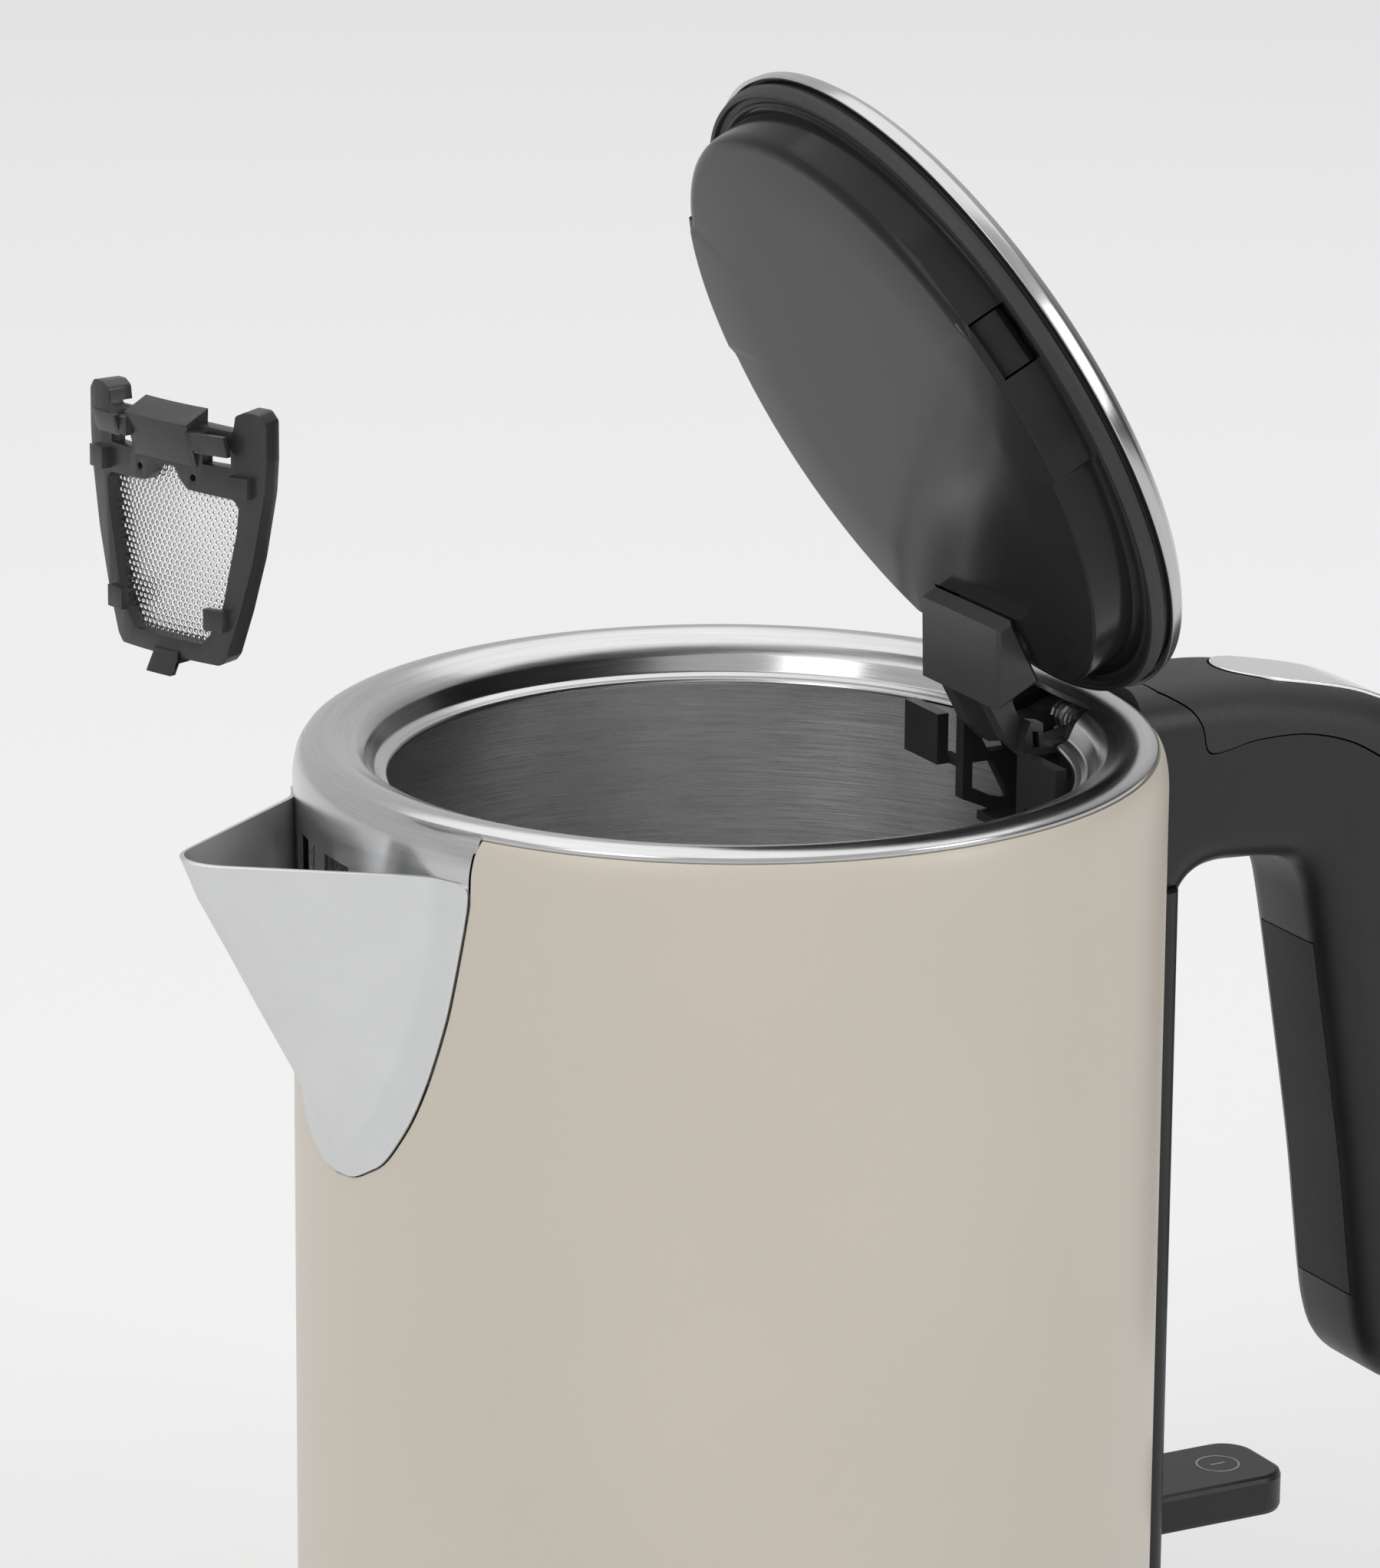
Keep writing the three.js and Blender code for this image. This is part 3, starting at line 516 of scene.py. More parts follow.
def rim_ring():
    line = smooth_line(RIM_TOP, 5)[:-1] + filleted(RIM_INNER, 5, False)
    ob = turned("steel_rim", line, RIM_STEEL, sharp=50)
    boolean(ob, [box("notch", 50, 65.4, -12.3, 12.3, -9, 0.75)])
    keep(ob, "kettle", "brushed_steel", "rim_ring")

    heights = [z for _, z in COLLAR_CURVE if z > -2]
    edge = [(27.7, z) for z in heights] + [(deg - 0.3, z) for deg, z in OPENING if -62 < z <= -2]
    collar = made("steel_collar", *grid(sector_rows(edge, collar_radius, 48, True)), RIM_STEEL, sharp=50)
    solidify(collar, 0.8)
    baked(collar, 50)
    boolean(collar, window_cutters(-80, -64))
    bevel(collar, 0.12, 2, 50)
    return keep(collar, "kettle", "brushed_steel")


def inner_vessel():
    wall = filleted([
        (0, -150, 0), (73.2, -150, 7), (73.2, -1.0, 0.2), (72.4, -1.0, 0.2), (72.4, -149.2, 6.2), (0, -149.2, 0),
    ], 8, False)
    ob = turned("water_vessel", wall, VESSEL_STEEL, sharp=50)
    boolean(ob, window_cutters(-80, -64))
    return keep(ob, "kettle", "vessel_steel", "inner_vessel")


# ------------------------------------------------------------ spout
FOLD = [
    (21, -7.5), (20.3, -15.2), (18.6, -26.3), (16.1, -36.3), (13, -44), (8.1, -53.8), (3.6, -59.6), (0.4, -62.4),
]
KEEL = [
    (-103, -7.5), (-100, -14.8), (-94.5, -25), (-89, -35.6), (-83.4, -46.1), (-79.4, -54), (-76.6, -59.6),
    (-75.3, -62.4),
]


def at_height(table, z):
    for (a, za), (b, zb) in zip(table, table[1:]):
        if z >= zb:
            return a + (b - a) * (z - za) / (zb - za)
    return table[-1][0]


def even(points, count):
    """The polyline with points evenly spaced along it."""
    pts = [Vector(p) for p in points]
    run = [0.0]
    for a, b in zip(pts, pts[1:]):
        run.append(run[-1] + (b - a).length)
    out = []
    j = 0
    for k in range(count):
        s = run[-1] * k / (count - 1)
        while j < len(pts) - 2 and run[j + 1] < s:
            j += 1
        span = run[j + 1] - run[j]
        t = 0 if span < 1e-9 else (s - run[j]) / span
        out.append(pts[j].lerp(pts[j + 1], min(1, max(0, t))))
    return out


def softened(points, passes):
    """Ends stay; every other point moves towards the middle of its neighbours."""
    pts = list(points)
    for _ in range(passes):
        pts = [pts[0]] + [
            pts[i] * 0.5 + (pts[i - 1] + pts[i + 1]) * 0.25 for i in range(1, len(pts) - 1)] + [pts[-1]]
    return pts


def spout_section(edge_deg, z):
    """Half section from the flange's edge round to the nose, as (x, y)."""
    r = BODY_R + 0.3
    fold = min(at_height(FOLD, z), edge_deg)
    line = []
    for k in range(9):
        a = rad(edge_deg + (fold - edge_deg) * k / 8)
        line.append((-r * math.cos(a), r * math.sin(a)))
    if fold <= 0.45:
        a = rad(fold)
        return even(line + [(-r, 0.0)], 46)
    root = line[-1]
    keel = at_height(KEEL, z)
    nose = max(0.6, 7.2 * fold / 21)
    cx = keel + nose
    dx, dy = root[0] - cx, root[1]
    reach = math.hypot(dx, dy)
    nose = min(nose, reach * 0.98)
    start = math.atan2(dy, dx) + math.acos(nose / reach)
    for k in range(13):
        a = start + (math.pi - start) * k / 12
        line.append((cx + nose * math.cos(a), nose * math.sin(a)))
    return softened(even(line, 46), 3)


def spout():
    edge = smooth_line([(25.4, -7.5)] + FLANGE[1:], 6)
    rows = []
    for deg, z in edge:
        half = [(p.x, p.y, z) for p in spout_section(max(deg, 0.02), z)]
        rows.append(half + [(x, -y, z) for x, y, z in reversed(half[:-1])])
    ob = made("pouring_spout", *grid(rows), SPOUT_STEEL, sharp=60)
    solidify(ob, 0.8)
    bevel(ob, 0.2, 2, 50)
    return keep(ob, "kettle", "spout_steel", "spout")


# ------------------------------------------------------------ handle
HANDLE_TOP = [
    (84, 1.6), (91, 1.5), (97, 1.2), (102.5, 0.5), (110.6, -1), (120.3, -3.3), (126.5, -5.6), (134, -9.2),
]
HANDLE_SIDE = [
    (40, 1.4), (62, 1.4), (76, 1.6), *HANDLE_TOP, (141, -14.2), (146.2, -21.5), (149.6, -32), (151.2, -46),
    (152, -70), (152.4, -100), (152, -118), (150.9, -125.4), (147.6, -131.3), (142.8, -135.3),
    (137.4, -136.8), (131.8, -135.2), (127.8, -131.2), (125.6, -125.6), (124.4, -119), (123.2, -109.8),
    (120.9, -91.8), (116.1, -62.7), (112.8, -44), (111, -37.5), (108, -33.4), (103, -32.1),
    (96, -31.6), (92, -31.5), (88.6, -32.2), (86, -33.8), (84.2, -36.6), (82.2, -41), (78.6, -48), (70, -60),
    (58, -72), (40, -80),
]
SHELL_SEAM = [
    (78, 4.5), (79.2, 1.6), (81, 0.5), (84.2, -1.7), (86.1, -4.8), (86.9, -8.6), (88.4, -9.9), (92, -9.5),
    (97.4, -8.5), (107, -8.6), (116.1, -10.9), (123, -14.6), (129, -18.9), (134.2, -25.4), (137.8, -33.6),
    (140, -43), (141.6, -58), (143, -90), (143.4, -120), (142.6, -138),
]


def handle_solid(name):
    """Side outline with its long edges rounded over, in rings from one cheek to the other."""
    line = [Vector(p) for p in smooth_line(HANDLE_SIDE, 5)]
    n = len(line)
    normals = []
    for i in range(n):
        along = line[min(i + 1, n - 1)] - line[max(i - 1, 0)]
        normals.append(Vector((along.y, -along.x)).normalized())
    turning = sum(p.x * q.y - q.x * p.y for p, q in zip(line, line[1:] + line[:1]))
    if turning > 0:
        normals = [-v for v in normals]
    rings = []
    for k in range(9):
        t = math.pi / 2 * k / 8
        inset = HANDLE_ROUND * (1 - math.cos(t))
        y = HANDLE_HALF - HANDLE_ROUND + HANDLE_ROUND * math.sin(t)
        rings.append((inset, y))
    sides = [(inset, -y) for inset, y in reversed(rings)] + [(inset, y) for inset, y in rings]
    rows = []
    for inset, y in sides:
        rows.append([(p.x + q.x * inset, y, p.y + q.y * inset) for p, q in zip(line, normals)])
    verts, faces = grid(rows, wrap_cols=True)
    faces.append(tuple(range(n)))
    faces.append(tuple(range(len(rows) * n - 1, (len(rows) - 1) * n - 1, -1)))
    ob = made(name, verts, faces)
    arc = [(75.4 * math.cos(a), 75.4 * math.sin(a)) for a in (rad(-60 + 3 * i) for i in range(41))]
    body = prism("body_cut", [(20, -66), *arc, (20, 66)], "Z", -110, 10)
    back = box("strip_cut", 50, STRIP_X + 0.3, -20, 20, -95, STRIP_TOP + 0.3)
    return boolean(ob, [body, back])


def over_seam(dx, dz):
    line = [(x + dx, z + dz) for x, z in smooth_line(SHELL_SEAM, 4)]
    return prism("seam_cut", [*line, (160, -140), (160, 12), (78 + dx, 12)], "Y", -20, 20)


def stadium(x0, x1, half, count=20):
    left = [rad(90 + 180 * i / count) for i in range(count + 1)]
    right = [rad(-90 + 180 * i / count) for i in range(count + 1)]
    return [(x0 + half + half * math.cos(a), half * math.sin(a)) for a in left] + [
        (x1 - half + half * math.cos(a), half * math.sin(a)) for a in right]


def under_top(dz, depth):
    top = [(x, z + dz) for x, z in smooth_line([*HANDLE_TOP, (136.5, -10.6)], 5)]
    return prism("under_top", [*top, *[(x, z - depth) for x, z in reversed(top)]], "Y", -12, 12)


def handle_pieces():
    pocket = prism("pocket", stadium(97.1, 134.4, 8.9), "Z", -30, 12)
    boolean(pocket, [under_top(6, 12.6)], "INTERSECT")
    upper = boolean(handle_solid("handle_top_shell"), [over_seam(0.12, 0.12)], "INTERSECT")
    boolean(upper, [pocket])
    upper.data.materials.append(GRAIN)
    bevel(upper, 0.3, 2, 50)
    keep(upper, "kettle", "grained_plastic", "handle_upper_shell")

    lower = boolean(handle_solid("handle_grip_shell"), [over_seam(-0.12, -0.12)])
    recess = insert_prism(0.25, 8.75)
    boolean(lower, [recess])
    lower.data.materials.append(BLACK)
    bevel(lower, 0.25, 2, 50)
    keep(lower, "kettle", "black_plastic", "handle_lower_shell")

    insert = boolean(handle_solid("handle_soft_insert"), [insert_prism(0, 8.5)], "INTERSECT")
    insert.data.materials.append(SOFT)
    bevel(insert, 0.25, 2, 50)
    keep(insert, "kettle", "soft_grip", "handle_insert")

    button = prism("lid_release_key", stadium(97.5, 134, 8.5), "Z", -30, 12)
    boolean(button, [under_top(0.35, 3.2)], "INTERSECT")
    button.data.materials.append(BRIGHT_STEEL)
    bevel(button, 0.5, 3, 50)
    keep(button, "release_button", "bright_steel", "lid_release_button")


def insert_prism(grow, half):
    line = smooth_line([(113.9, -50), (116.1, -62.7), (120.9, -91.8), (123.2, -109.8), (124.2, -118)], 4)
    outer = [(x - 4, z) for x, z in line]
    inner = [(x + 1.6 + grow, z) for x, z in reversed(line)]
    outer[0] = (outer[0][0], outer[0][1] + grow)
    outer[-1] = (outer[-1][0], outer[-1][1] - grow)
    inner[0] = (inner[0][0], inner[0][1] - grow)
    inner[-1] = (inner[-1][0], inner[-1][1] + grow)
    return prism("insert_cut", outer + inner, "Y", -half, half)


# ------------------------------------------------------------ lid
def lid_cap():
    line = filleted([
        (0, 5.6, 0), (2, 5.6, 0), (20, 5.5, 10), (40, 5.15, 14), (54, 4.5, 8), (59.2, 3.6, 3), (61.4, 1.9, 1.6),
        (61.9, -0.5, 0.25), (61.1, -0.5, 0.2), (60.8, 0.9, 1), (59.6, 2.4, 2), (55.8, 3.5, 4), (40, 4.2, 8),
        (2, 4.6, 0), (0, 4.6, 0),
    ], 6, False)
    ob = turned("lid_steel_cap", line, LID_STEEL, OPEN, sharp=50)
    return keep(ob, "lid", "brushed_steel", "lid_cap")


BOSS_R = 56.5
BOSS_REAR_R = 54.9
BOSS_FACE = -12.0
BOSS_STEP = 88.0


def boss_radius(degrees):
    """Radius of the boss at a turn from +X, which is the hinge side."""
    from_front = abs(180 - degrees)
    t = min(1, max(0, (from_front - BOSS_STEP) / 1.2))
    return BOSS_R + (BOSS_REAR_R - BOSS_R) * t


def boss_profile(degrees):
    r = boss_radius(degrees)
    from_front = abs(180 - degrees)
    soft = 2.4 if from_front < 57 else 2.4 - 1.7 * min(1, (from_front - 57) / 3)
    f = BOSS_FACE
    return filleted([
        (0, f, 0), (40, f, 0), (r, f, soft), (r + 0.25, -3.1, 1.2), (58.6, -2.85, 0.3), (58.9, -1.4, 0.2),
        (60.5, -1.0, 0.3), (60.5, 0.3, 0.2), (54.2, 0.3, 0.2), (53.2, f + 1.9, 0.6), (0, f + 1.9, 0),
    ], 5, False)


def sector_box(name, az, half, r0, r1, z0, z1):
    turn = Matrix.Rotation(math.pi + rad(az), 4, "Z")
    return box(name, r0, r1, -half, half, z0, z1, OPEN @ turn)


def lid_cover():
    ob = turned("lid_inner_shell", boss_profile, LID_BLACK, OPEN, segments=360, sharp=40)
    cutters = [box("hollow", 38.0, 60, -13.7, 13.7, -20, -2.6, OPEN)]
    cutters += [box("recess", 47.6, 60, 13, 27.2, -20, -4, OPEN)]
    cutters += [box("recess", 47.6, 60, -27.2, -13, -20, -4, OPEN)]
    cutters += [box("cheek_slot", 47.4, 56.3, k * 10.5 - 2, k * 10.5 + 2, -6, 1, OPEN) for k in (1, -1)]
    boolean(ob, cutters)
    well = []
    for k in (1, -1):
        outer = sector_box("latch_well", k * 63, 7.0, 43, 57.5, -11.9, -1.8)
        boolean(outer, [sector_box("latch_hole", k * 63, 5.5, 44.4, 60, -10.7, -3.4)])
        well.append(outer)
    boolean(ob, [sector_box("latch_hole", k * 63, 5.5, 44.4, 60, -10.7, -3.4) for k in (1, -1)])
    for outer in well:
        outer.data.materials.append(LID_BLACK)
        drum = turned("drum", [(0, -13), (56.2, -13), (56.2, 0), (0, 0)], None, OPEN, 96)
        boolean(outer, [drum], "INTERSECT")
        outer.name = "latch_well_near" if outer is well[0] else "latch_well_far"
        bevel(outer, 0.15, 1, 40)
        keep(outer, "lid", "lid_plastic")
    lining = box("hinge_hollow", 36.4, 56, -15.3, 15.3, -11.9, -1.2, OPEN)
    boolean(lining, [box("cut", 38.0, 60, -13.7, 13.7, -20, -2.6, OPEN)])
    boolean(lining, [box("cut", 47.6, 60, -30, 30, -20, -4, OPEN)])
    for k in (1, -1):
        boolean(lining, [box("cut", 47.4, 56.3, k * 10.5 - 2, k * 10.5 + 2, -6, 1, OPEN)])
    lining.data.materials.append(LID_BLACK)
    keep(lining, "lid", "lid_plastic")
    bevel(ob, 0.14, 2, 40)
    return keep(ob, "lid", "lid_plastic", "lid_inner_cover")


def lid_gasket():
    line = filleted([
        (57.2, -1.2, 0.1), (60.75, -1.2, 0.2), (60.9, -2.2, 0.3), (60.35, -3.9, 0.25), (59.6, -3.9, 0.25),
        (59.3, -2.9, 0.3), (58.3, -2.9, 0.15), (58.1, -3.4, 0.2), (57.5, -3.4, 0.2), (57.2, -2.8, 0.2),
    ], 4)
    ob = turned("lid_seal_ring", line, RUBBER, OPEN, sharp=40)
    return keep(ob, "lid", "gasket_rubber", "lid_gasket")


def softened_node(name, look, mm=0.3, segments=2, angle=25):
    """A CAD part whose shape is right: coplanar facets merged and its edges eased."""
    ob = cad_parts[name]
    m = ob.modifiers.new("flat", "DECIMATE")
    m.decimate_type = "DISSOLVE"
    m.angle_limit = rad(1.5)
    bevel(ob, mm, segments, angle)
    painted(name, look)
    ob.data.shade_smooth()
    n = ob.modifiers.new("normals", "WEIGHTED_NORMAL")
    n.keep_sharp = True
    return ob


def painted(name, look):
    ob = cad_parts[name]
    if not ob.material_slots:
        ob.data.materials.append(look)
    for s in ob.material_slots:
        s.material = look
    return ob


# ------------------------------------------------------------ strainer
def on_strainer(u, z, depth):
    """A flat point wrapped onto the strainer's curve. depth is positive to the front."""
    a = u / FILTER_R
    r = FILTER_R + depth
    return (FILTER_R - r * math.cos(a), r * math.sin(a), z)


def inside_outline(u, z, outline, margin):
    hit = False
    for (x0, z0), (x1, z1) in zip(outline, outline[1:] + outline[:1]):
        if (z0 > z) != (z1 > z) and u < (x1 - x0) * (z - z0) / (z1 - z0) + x0:
            hit = not hit
        d = Vector((x1 - x0, z1 - z0))
        t = max(0, min(1, (Vector((u, z)) - Vector((x0, z0))).dot(d) / max(1e-9, d.length_squared)))
        if (Vector((x0, z0)) + d * t - Vector((u, z))).length < margin:
            return False
    return hit


def strainer_mesh():
    """Perforated steel sheet: a net of cells, each with a round hole."""
    outline = mirrored([(16.2, 8.2), (15.7, -2), (13.2, -13), (9.4, -22.8)])
    pitch_u, pitch_z, hole = 1.2, 0.98, 0.37
    verts, faces, index = [], [], {}

    def vertex(u, z):
        key = (round(u, 3), round(z, 3))
        if key not in index:
            index[key] = len(verts)
            verts.append(on_strainer(u, z, -1.45))
        return index[key]

    rows = range(-26, 14)
    for j in rows:
        shift = 0.5 * pitch_u if j % 2 else 0
        for i in range(-20, 21):
            u, z = i * pitch_u + shift, j * pitch_z
            if not inside_outline(u, z, outline, 0.3):
                continue
            du, dz = pitch_u / 2, pitch_z
            ring = [(u, z + dz * 2 / 3), (u + du, z + dz / 3), (u + du, z - dz / 3), (u, z - dz * 2 / 3),
                    (u - du, z - dz / 3), (u - du, z + dz / 3)]
            solid = not inside_outline(u, z, outline, 0.75)
            outer = [vertex(*p) for p in ring]
            if solid:
                faces.append(tuple(outer))
                continue
            inner = [vertex(u + hole * math.sin(k * math.pi / 6), z + hole * math.cos(k * math.pi / 6))
                     for k in range(12)]
            for k in range(6):
                a, b, c = inner[2 * k], inner[2 * k + 1], inner[(2 * k + 2) % 12]
                p, q = outer[k], outer[(k + 1) % 6]
                faces.append((p, b, a))
                faces.append((p, q, b))
                faces.append((q, c, b))
    ob = made("strainer_sheet", verts, faces, BRIGHT_STEEL, STRAINER, sharp=40)
    solidify(ob, 0.4)
    return keep(ob, "strainer", "bright_steel", "filter_mesh")


def slab(name, outline, low, high):
    """Flat strainer part before it is curved: outline in (u, z), thick from low to high in depth."""
    return prism(name, outline, "Y", low, high, STRAINER)


def wedge(name, low, high):
    """Six-sided block from two quads of (u, depth, z) points."""
    verts = list(low) + list(high)
    faces = [(0, 1, 2, 3), (7, 6, 5, 4), (0, 4, 5, 1), (1, 5, 6, 2), (2, 6, 7, 3), (3, 7, 4, 0)]
    return made(name, verts, faces, None, STRAINER)


def plate(u0, u1, z0, z1, near, far, thick):
    """Leaning plate: depth near at its lower edge and far at its upper edge."""
    low = [(u0, near, z0), (u1, near, z0), (u1, near - thick, z0), (u0, near - thick, z0)]
    high = [(u0, far, z1), (u1, far, z1), (u1, far - thick, z1), (u0, far - thick, z1)]
    return wedge("plate", low, high)


def curved(ob):
    """Slices the flat frame across and wraps it onto the strainer's curve."""
    bm = bmesh.new()
    bm.from_mesh(ob.data)
    for k in range(-13, 14):
        geom = bm.verts[:] + bm.edges[:] + bm.faces[:]
        bmesh.ops.bisect_plane(bm, geom=geom, plane_co=(k * 1.8 * MM, 0, 0), plane_no=(1, 0, 0), dist=1e-7)
    for v in bm.verts:
        u, depth, z = v.co / MM
        v.co = Vector(on_strainer(u, z, depth)) * MM
    bm.to_mesh(ob.data)
    bm.free()
    tidy(ob.data, 32)
    return ob


def strainer_frame():
    outer = filleted(mirrored([
        (8.0, 14.9, 0.5), (14.1, 14.6, 0.5), (14.5, 17.3, 0.9), (16.2, 18.1, 1), (18.8, 18.0, 1.2), (20.1, 16.4, 1.2),
        (20.1, 10, 6), (19.7, 4.5, 6), (17.6, -6.5, 8), (14.9, -16, 8), (12.3, -23.4, 1.4), (11.1, -24.8, 1)]), 4)
    inner = filleted(mirrored([
        (2.0, 7.2, 1.0), (3.3, 5.2, 0.8), (4.8, 3.8, 0.8), (14.0, 3.4, 1.2), (15.0, 2.2, 1.0), (14.6, -2, 5),
        (13.1, -8.7, 5), (12, -14, 4), (10.4, -18.4, 2), (7.6, -21.7, 1.4)]), 4)
    hollow = filleted(mirrored([
        (17.4, 15.0, 1), (17.6, 8, 4), (17.0, -2, 6), (15.0, -10, 6), (12.6, -18, 2), (10.2, -22.9, 1)]), 4)
    frame_ob = slab("strainer_frame", outer, -1.4, 1.3)
    skirt = slab("skirt", outer, -3.2, 0.4)
    boolean(skirt, [slab("cut", hollow, -6, 6), box("cut", -13.6, 13.6, -9, 9, 12, 40, STRAINER)])
    parts = [skirt]
    parts.append(wedge("hood", [(-7, 1.5, 7.9), (7, 1.5, 7.9), (7, -1.2, 7.9), (-7, -1.2, 7.9)],
                       [(-6.8, 3.8, 15.2), (6.8, 3.8, 15.2), (7.3, -1.2, 17.2), (-7.3, -1.2, 17.2)]))
    for k in (1, -1):
        a, b = sorted((k * 8.2, k * 14.4))
        parts.append(plate(a, b, 10.8, 14.4, 3.5, 4.8, 1.1))
        a, b = sorted((k * 6.4, k * 9.2))
        parts.append(box("arm", a, b, 0, 3.8, 11.2, 14.1, STRAINER))
        a, b = sorted((k * 14.0, k * 17.6))
        parts.append(box("clip", a, b, -1, 3.0, 4.0, 7.6, STRAINER))
        a, b = sorted((k * 9.1, k * 12.8))
        parts.append(box("clip", a, b, -1, 3.0, -18.7, -15.1, STRAINER))
    parts.append(plate(-2.7, 2.7, -27.5, -24.0, 3.5, 1.6, 1.2))
    parts.append(box("hook", -2.7, 2.7, -1.2, 1.8, -25.8, -23.8, STRAINER))
    boolean(frame_ob, parts, "UNION")
    cuts = [slab("cut", inner, -6, 1.6)]
    for k in (1, -1):
        a, b = sorted((k * 8.0, k * 13.6))
        cuts.append(box("cut", a, b, -6, 2.2, 8.5, 10.6, STRAINER))
        hole = [(k * 6.0 + 0.6 * math.cos(rad(i * 24)), 5.9 + 0.6 * math.sin(rad(i * 24))) for i in range(15)]
        cuts.append(slab("cut", hole, -6, 6))
    boolean(frame_ob, cuts)
    bevel(frame_ob, 0.28, 2, 30)
    baked(frame_ob)
    curved(frame_ob)
    frame_ob.data.materials.append(HINGE_BLACK)
    return keep(frame_ob, "strainer", "black_plastic", "filter_frame")


# ------------------------------------------------------------ power base
def base_pieces():
    top = filleted([
        (79, 2.6, 0.3), (79, 19.6, 4), (77.2, 22.8, 3), (73.4, 23.7, 0.6), (66.6, 23.7, 0.5), (64, 22.6, 0.4),
        (20.6, 22.6, 0.4), (20.6, 20.6, 0.2), (64.8, 20.6, 0.2), (67.4, 21.7, 0.2), (73, 21.7, 0.4),
        (76, 20.4, 0.8), (77, 18.4, 0.8), (77, 2.6, 0.3),
    ], 5)
    ob = turned("base_housing", top, BASE_BLACK, TABLE, sharp=45)
    boolean(ob, [box("cord_gap", 70, 84, -4.6, 4.6, 3.8, 13, TABLE)])
    bevel(ob, 0.2, 2, 50)
    keep(ob, "power_base", "black_plastic", "base_top_cover")


def foot_ring():
    b = -182
    line = filleted([
        (74.8, SHELL_BOTTOM - 0.3, 0.3), (74.8, b + 2.6, 2.2), (72.4, b, 0.8), (69, b, 0.5), (69, b + 2.4, 0.4),
        (71.8, b + 2.4, 0.2), (71.8, b + 20, 0.2), (74, b + 20, 0.2), (74, SHELL_BOTTOM - 0.3, 0.1),
    ], 5)
    ob = turned("body_foot_ring", line, BLACK, KETTLE, sharp=45)
    keep(ob, "kettle", "black_plastic", "foot_ring")


# ------------------------------------------------------------ switch mark
def lever_mark():
    """Generic on-off mark on the lever: a thin ring with a bar."""
    ring = filleted([(3.7, -150.06, 0), (3.7, -149.93, 0.04), (4.05, -149.93, 0.04), (4.05, -150.06, 0)], 2)
    rows = []
    for i in range(64):
        a = 2 * math.pi * i / 64
        rows.append([(102.5 + r * math.cos(a), r * math.sin(a), z) for r, z in ring])
    verts, faces = grid(rows, wrap_rows=True, wrap_cols=True)
    ob = made("lever_mark_ring", verts, faces, MARK)
    keep(ob, "switch", "black_plastic")
    corners = [(101.0, -0.2, 0.15), (104.0, -0.2, 0.15), (104.0, 0.2, 0.15), (101.0, 0.2, 0.15)]
    bar = prism("lever_mark_bar", filleted(corners, 3), "Z", -150.06, -149.93, KETTLE, MARK)
    keep(bar, "switch", "black_plastic")


# ------------------------------------------------------------ assembly
outer_shell()
rim_ring()
inner_vessel()
spout()
handle_pieces()
lid_cap()
lid_cover()
lid_gasket()
strainer_mesh()
strainer_frame()
base_pieces()
foot_ring()
lever_mark()

softened_node("lid_hinge_arm", HOOD_BLACK, 0.5, 3)
softened_node("hinge_bracket", HINGE_BLACK, 0.18)
softened_node("lid_latch_near", LID_BLACK, 0.15)
softened_node("lid_latch_far", LID_BLACK, 0.15)
softened_node("switch_lever", BLACK, 0.3)
softened_node("back_strip", BLACK, 0.35)
for part, finish_look in {
    "bottom_cover": BASE_BLACK, "thermostat_control": BLACK, "connector_socket": BASE_BLACK,
    "heater_plate": HEATER, "heating_element": HEATER, "lever_pin": HIDDEN_STEEL, "hinge_pin": HIDDEN_STEEL,
    "hinge_spring": HIDDEN_STEEL, "base_bottom_cover": BASE_BLACK, "base_connector": BASE_BLACK,
    "contact_ring": BRASS, "contact_pin": BRASS, "cord_inlet": RUBBER,
    "base_screw_1": HIDDEN_STEEL, "base_screw_2": HIDDEN_STEEL, "base_screw_3": HIDDEN_STEEL,
    "base_foot_1": RUBBER, "base_foot_2": RUBBER, "base_foot_3": RUBBER, "base_foot_4": RUBBER,
}.items():
    softened_node(part, finish_look, 0.25)


# ------------------------------------------------------------ camera, light and floor
def camera():
    data = bpy.data.cameras.new("camera")
    data.lens = 177.2
    data.sensor_width = 36
    data.clip_end = 30
    ob = bpy.data.objects.new("camera", data)
    bpy.context.collection.objects.link(ob)
    forward = Vector((0.4553, 0.8461, -0.2771)).normalized()
    right = Vector((0.881, -0.474, 0))
    right = (right - forward * right.dot(forward)).normalized()
    up = right.cross(forward)
    roll = rad(0.43)
    right, up = math.cos(roll) * right + math.sin(roll) * up, math.cos(roll) * up - math.sin(roll) * right
    turn = Matrix((right, up, -forward)).transposed().to_4x4()
    ob.matrix_world = Matrix.Translation((-0.6081, -1.1154, 0.3587 + SEAM * MM)) @ turn
    bpy.context.scene.camera = ob


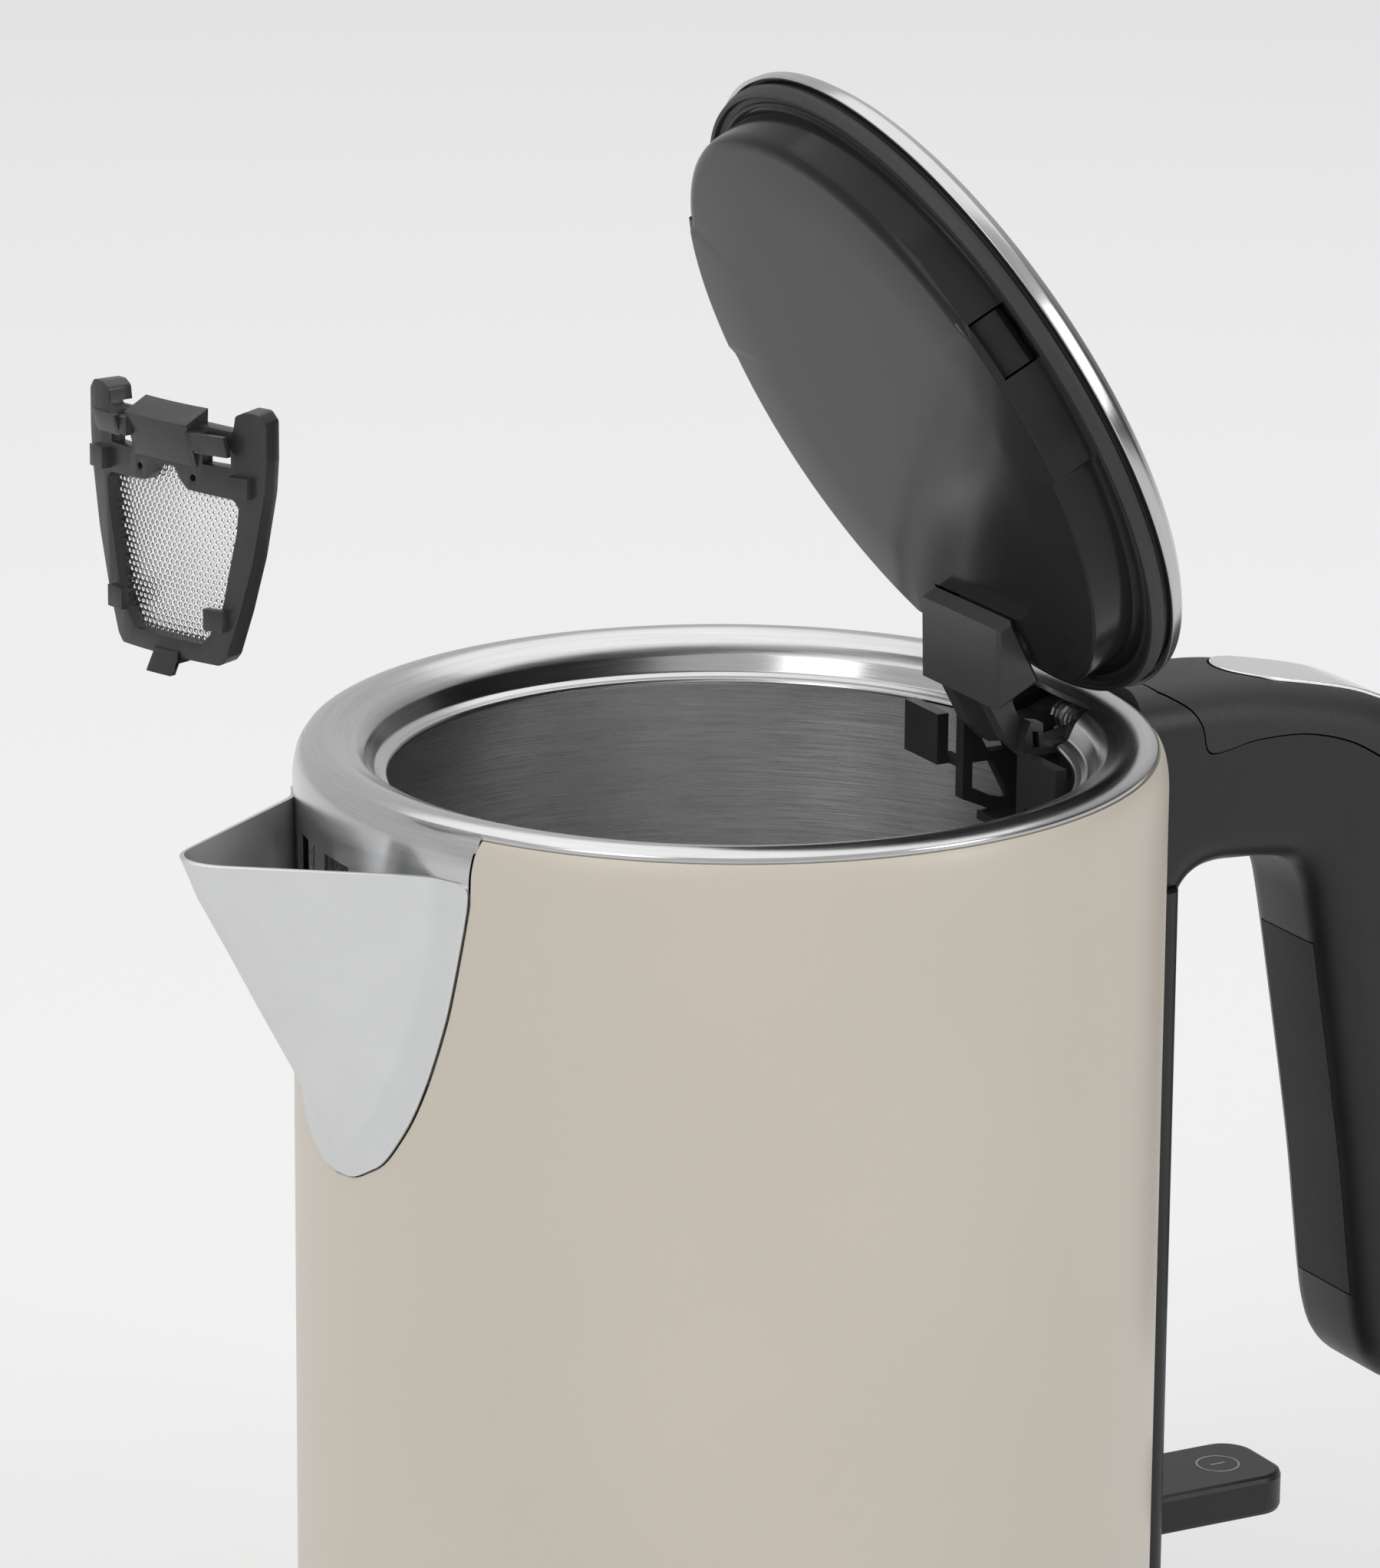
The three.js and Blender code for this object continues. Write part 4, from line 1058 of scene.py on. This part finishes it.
def area_light(name, at, target, size, power):
    data = bpy.data.lights.new(name, "AREA")
    data.shape = "RECTANGLE"
    data.size, data.size_y = size
    data.energy = power
    ob = bpy.data.objects.new(name, data)
    bpy.context.collection.objects.link(ob)
    ob.location = at
    ob.rotation_euler = (Vector(target) - Vector(at)).to_track_quat("-Z", "Y").to_euler()
    return ob


def studio():
    n = Nodes("pale_floor")
    p = n.place()
    color = n.shades(n.spread(n.noise(p, 1.5, 2), 0, 1), (0.87, 0.87, 0.87), (0.89, 0.89, 0.89))
    look = n.finish(color, n.spread(n.noise(p, 260, 2), 0.7, 0.8))
    corners = [(-12, -12, 1), (12, -12, 1), (12, 12, 1), (-12, 12, 1)]
    floor = prism("floor", filleted(corners, 4), "Z", -1, 0, TABLE, look)
    floor.scale = (1000, 1000, 1)
    sky()
    area_light("overhead", (0.25, 0.75, 2.3), (0.25, 0.75, 0), (3.4, 2.8), 25)
    area_light("key", (-1.7, -0.9, 1.5), (0, 0, 0.15), (0.9, 1.7), 11)
    area_light("fill", (1.3, -1.9, 1.2), (0, 0, 0.1), (0.7, 1.4), 13)


def sky():
    """Soft pale surroundings, darker to the right, as beside a studio flag."""
    world = bpy.data.worlds.new("studio")
    bpy.context.scene.world = world
    world.use_nodes = True
    tree = world.node_tree
    coords = tree.nodes.new("ShaderNodeTexCoord")
    dot = tree.nodes.new("ShaderNodeVectorMath")
    dot.operation = "DOT_PRODUCT"
    dot.inputs[1].default_value = Vector((0.93, -0.25, -0.28)).normalized()
    ramp = tree.nodes.new("ShaderNodeMapRange")
    ramp.interpolation_type = "SMOOTHSTEP"
    ramp.inputs["From Min"].default_value = 0.35
    ramp.inputs["From Max"].default_value = 0.85
    ramp.inputs["To Min"].default_value = 0.62
    ramp.inputs["To Max"].default_value = 0.08
    tree.links.new(coords.outputs["Generated"], dot.inputs[0])
    tree.links.new(dot.outputs["Value"], ramp.inputs["Value"])
    tree.links.new(ramp.outputs[0], tree.nodes["Background"].inputs["Strength"])
    tree.nodes["Background"].inputs["Color"].default_value = (1, 1, 1, 1)


camera()
studio()
bpy.context.scene.view_settings.view_transform = "Standard"

bpy.context.view_layer.update()
